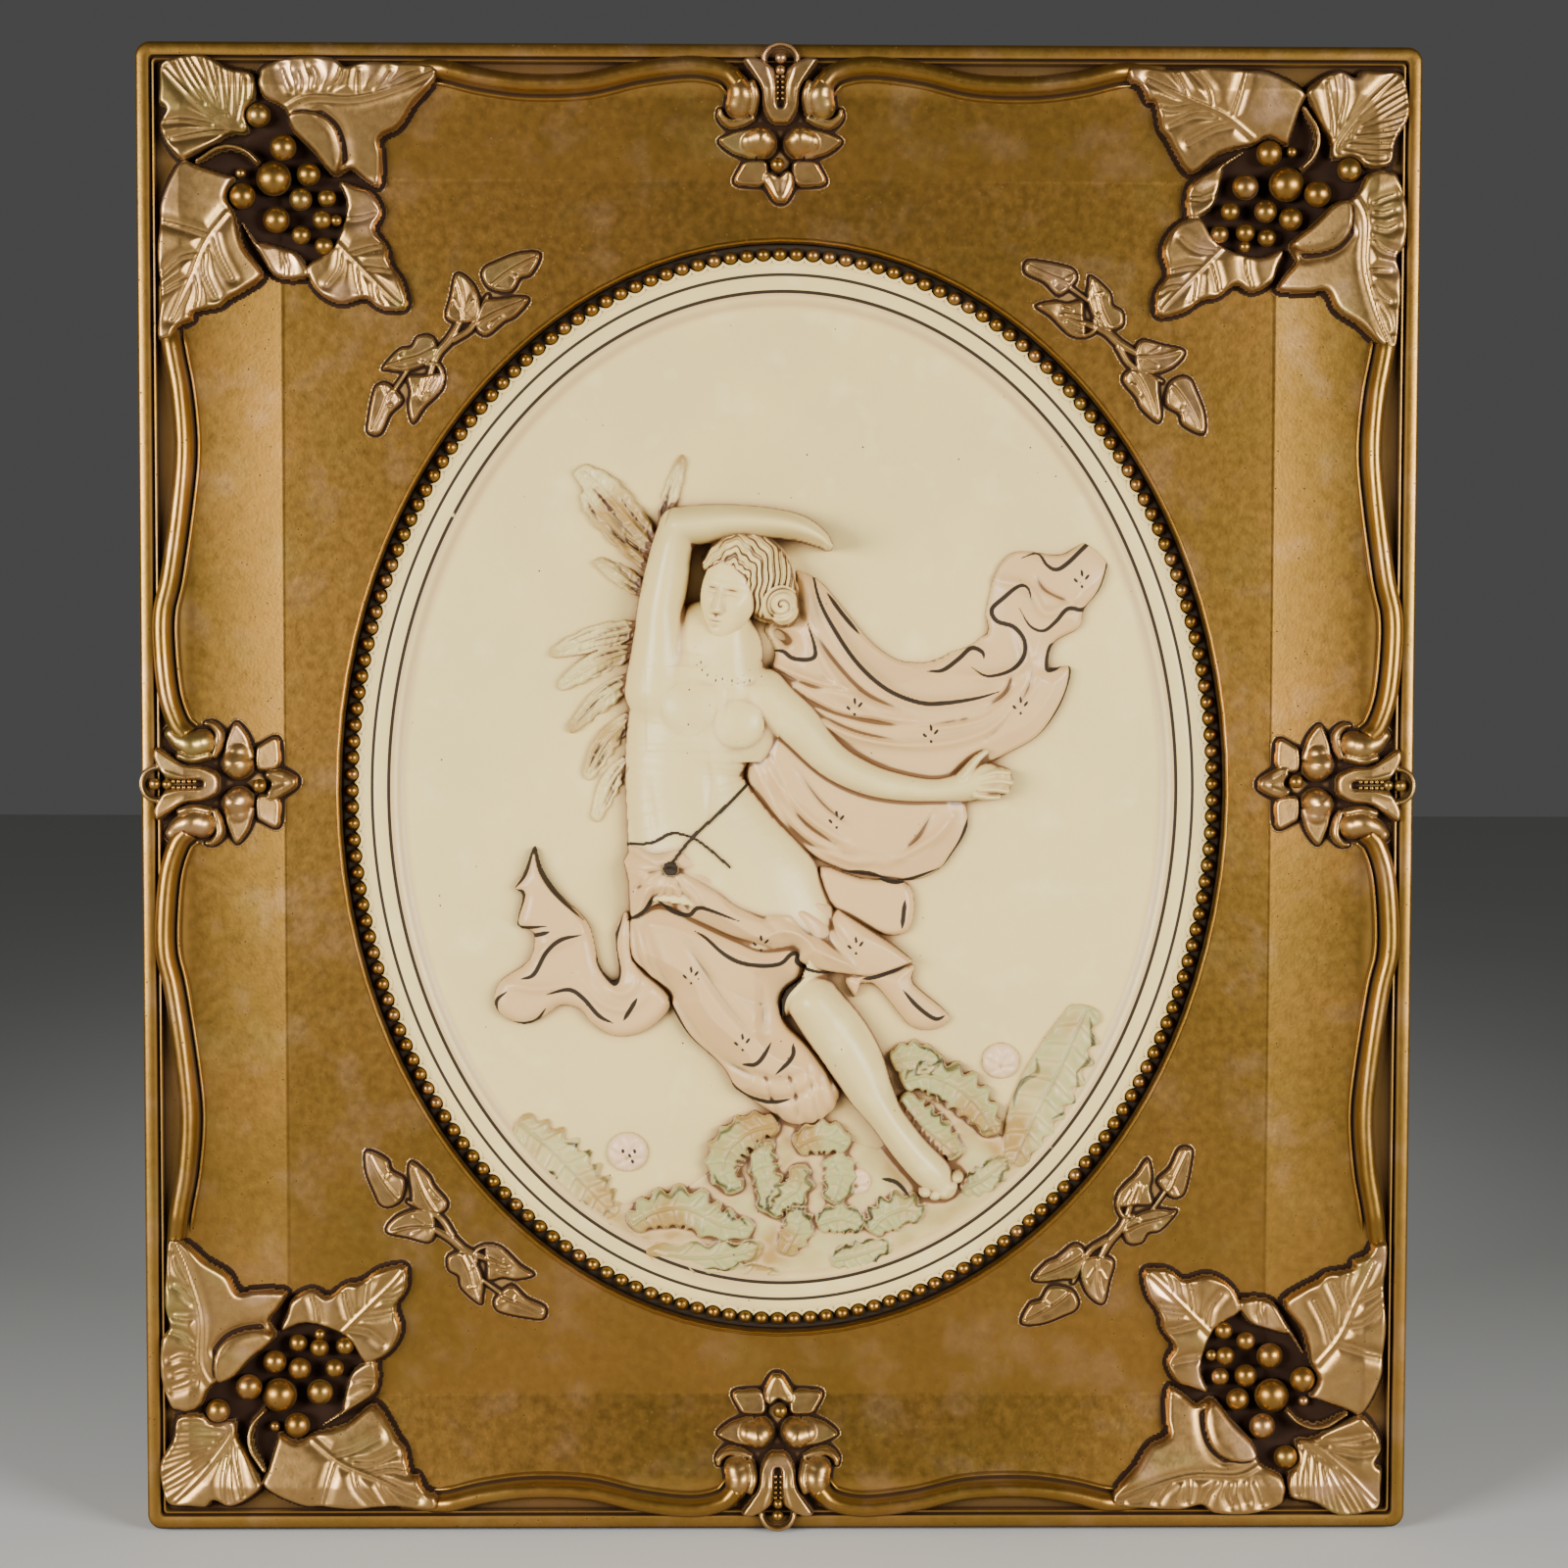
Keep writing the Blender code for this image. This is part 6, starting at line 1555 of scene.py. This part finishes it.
hair = np.where(hair > 0, hair + np.where(from_bun < 1, coils, locks), hair)
head_levels = np.maximum(face, hair)
# Brown stain and painted shade in the hollows of the face and hair.
head_shade = hollows(np.maximum(head_levels, 0.008), HEAD_PITCH, 0.0004, 0.0012, 0.0004)
shown = cells_above(head_levels, 0.002)
body = carved(head, GROUND_LEVEL + np.maximum(head_levels, 0.0), shown, FIGURE_ROOT,
              {"shade": head_shade, "ink": np.zeros(head_shade.shape)})
piece_of("head", body, skin_glaze, "relief_medallion")


# Floor, lights and camera. A plain pale floor under the plaque, two wide soft lights to the left
# and right as the twin reflections on the rods and beads show, and a weak fill all round.

FLOOR_SIZE = 8.0
CAMERA_LENS = 65.946
CAMERA_SENSOR = 36.0
CAMERA_PLACE = (-0.01071, -1.0, 0.05159)
CAMERA_TURN = (np.pi / 2 - 0.0494, -0.00219, -0.01269)
LIGHT_ENERGIES = {-1: 6.9, 1: 6.4}
LIGHT_WIDTH = 0.70
LIGHT_HEIGHT = 0.45
LIGHT_SPREAD = 80
LIGHT_TURN = 46
LIGHT_DISTANCE = 1.3
LIGHT_RISE = 0.12
FILL_STRENGTH = 0.07
floor_mesh = bmesh.new()
bmesh.ops.create_grid(floor_mesh, x_segments=1, y_segments=1, size=FLOOR_SIZE / 2)
for vert in floor_mesh.verts:
    vert.co.z = -FRAME_HEIGHT / 2 - MM
pale = Finish("pale_floor", 0.7)
pale.coat(pale.mixed(pale.noise(0.5), tone(205, 205, 200), tone(212, 212, 208)))
mesh = bpy.data.meshes.new("floor")
floor_mesh.to_mesh(mesh)
floor_mesh.free()
mesh.materials.append(pale.material)
floor = bpy.data.objects.new("floor", mesh)
bpy.context.scene.collection.objects.link(floor)

camera_data = bpy.data.cameras.new("camera")
camera_data.lens = CAMERA_LENS
camera_data.sensor_width = CAMERA_SENSOR
camera = bpy.data.objects.new("camera", camera_data)
camera.location = CAMERA_PLACE
camera.rotation_euler = CAMERA_TURN
bpy.context.scene.collection.objects.link(camera)
bpy.context.scene.camera = camera
for side, energy in LIGHT_ENERGIES.items():
    light_data = bpy.data.lights.new("soft_light", "AREA")
    light_data.energy = energy
    light_data.shape = "RECTANGLE"
    light_data.size = LIGHT_WIDTH
    light_data.size_y = LIGHT_HEIGHT
    light_data.spread = np.radians(LIGHT_SPREAD)
    light = bpy.data.objects.new("soft_light", light_data)
    turned = np.radians(LIGHT_TURN)
    light.location = (side * LIGHT_DISTANCE * np.sin(turned), -LIGHT_DISTANCE * np.cos(turned), LIGHT_RISE)
    light.rotation_euler = (np.radians(85), 0, side * turned)
    bpy.context.scene.collection.objects.link(light)
world = bpy.data.worlds.new("world")
world.use_nodes = True
world.node_tree.nodes["Background"].inputs["Color"].default_value = (1.0, 1.0, 1.0, 1.0)
world.node_tree.nodes["Background"].inputs["Strength"].default_value = FILL_STRENGTH
bpy.context.scene.world = world
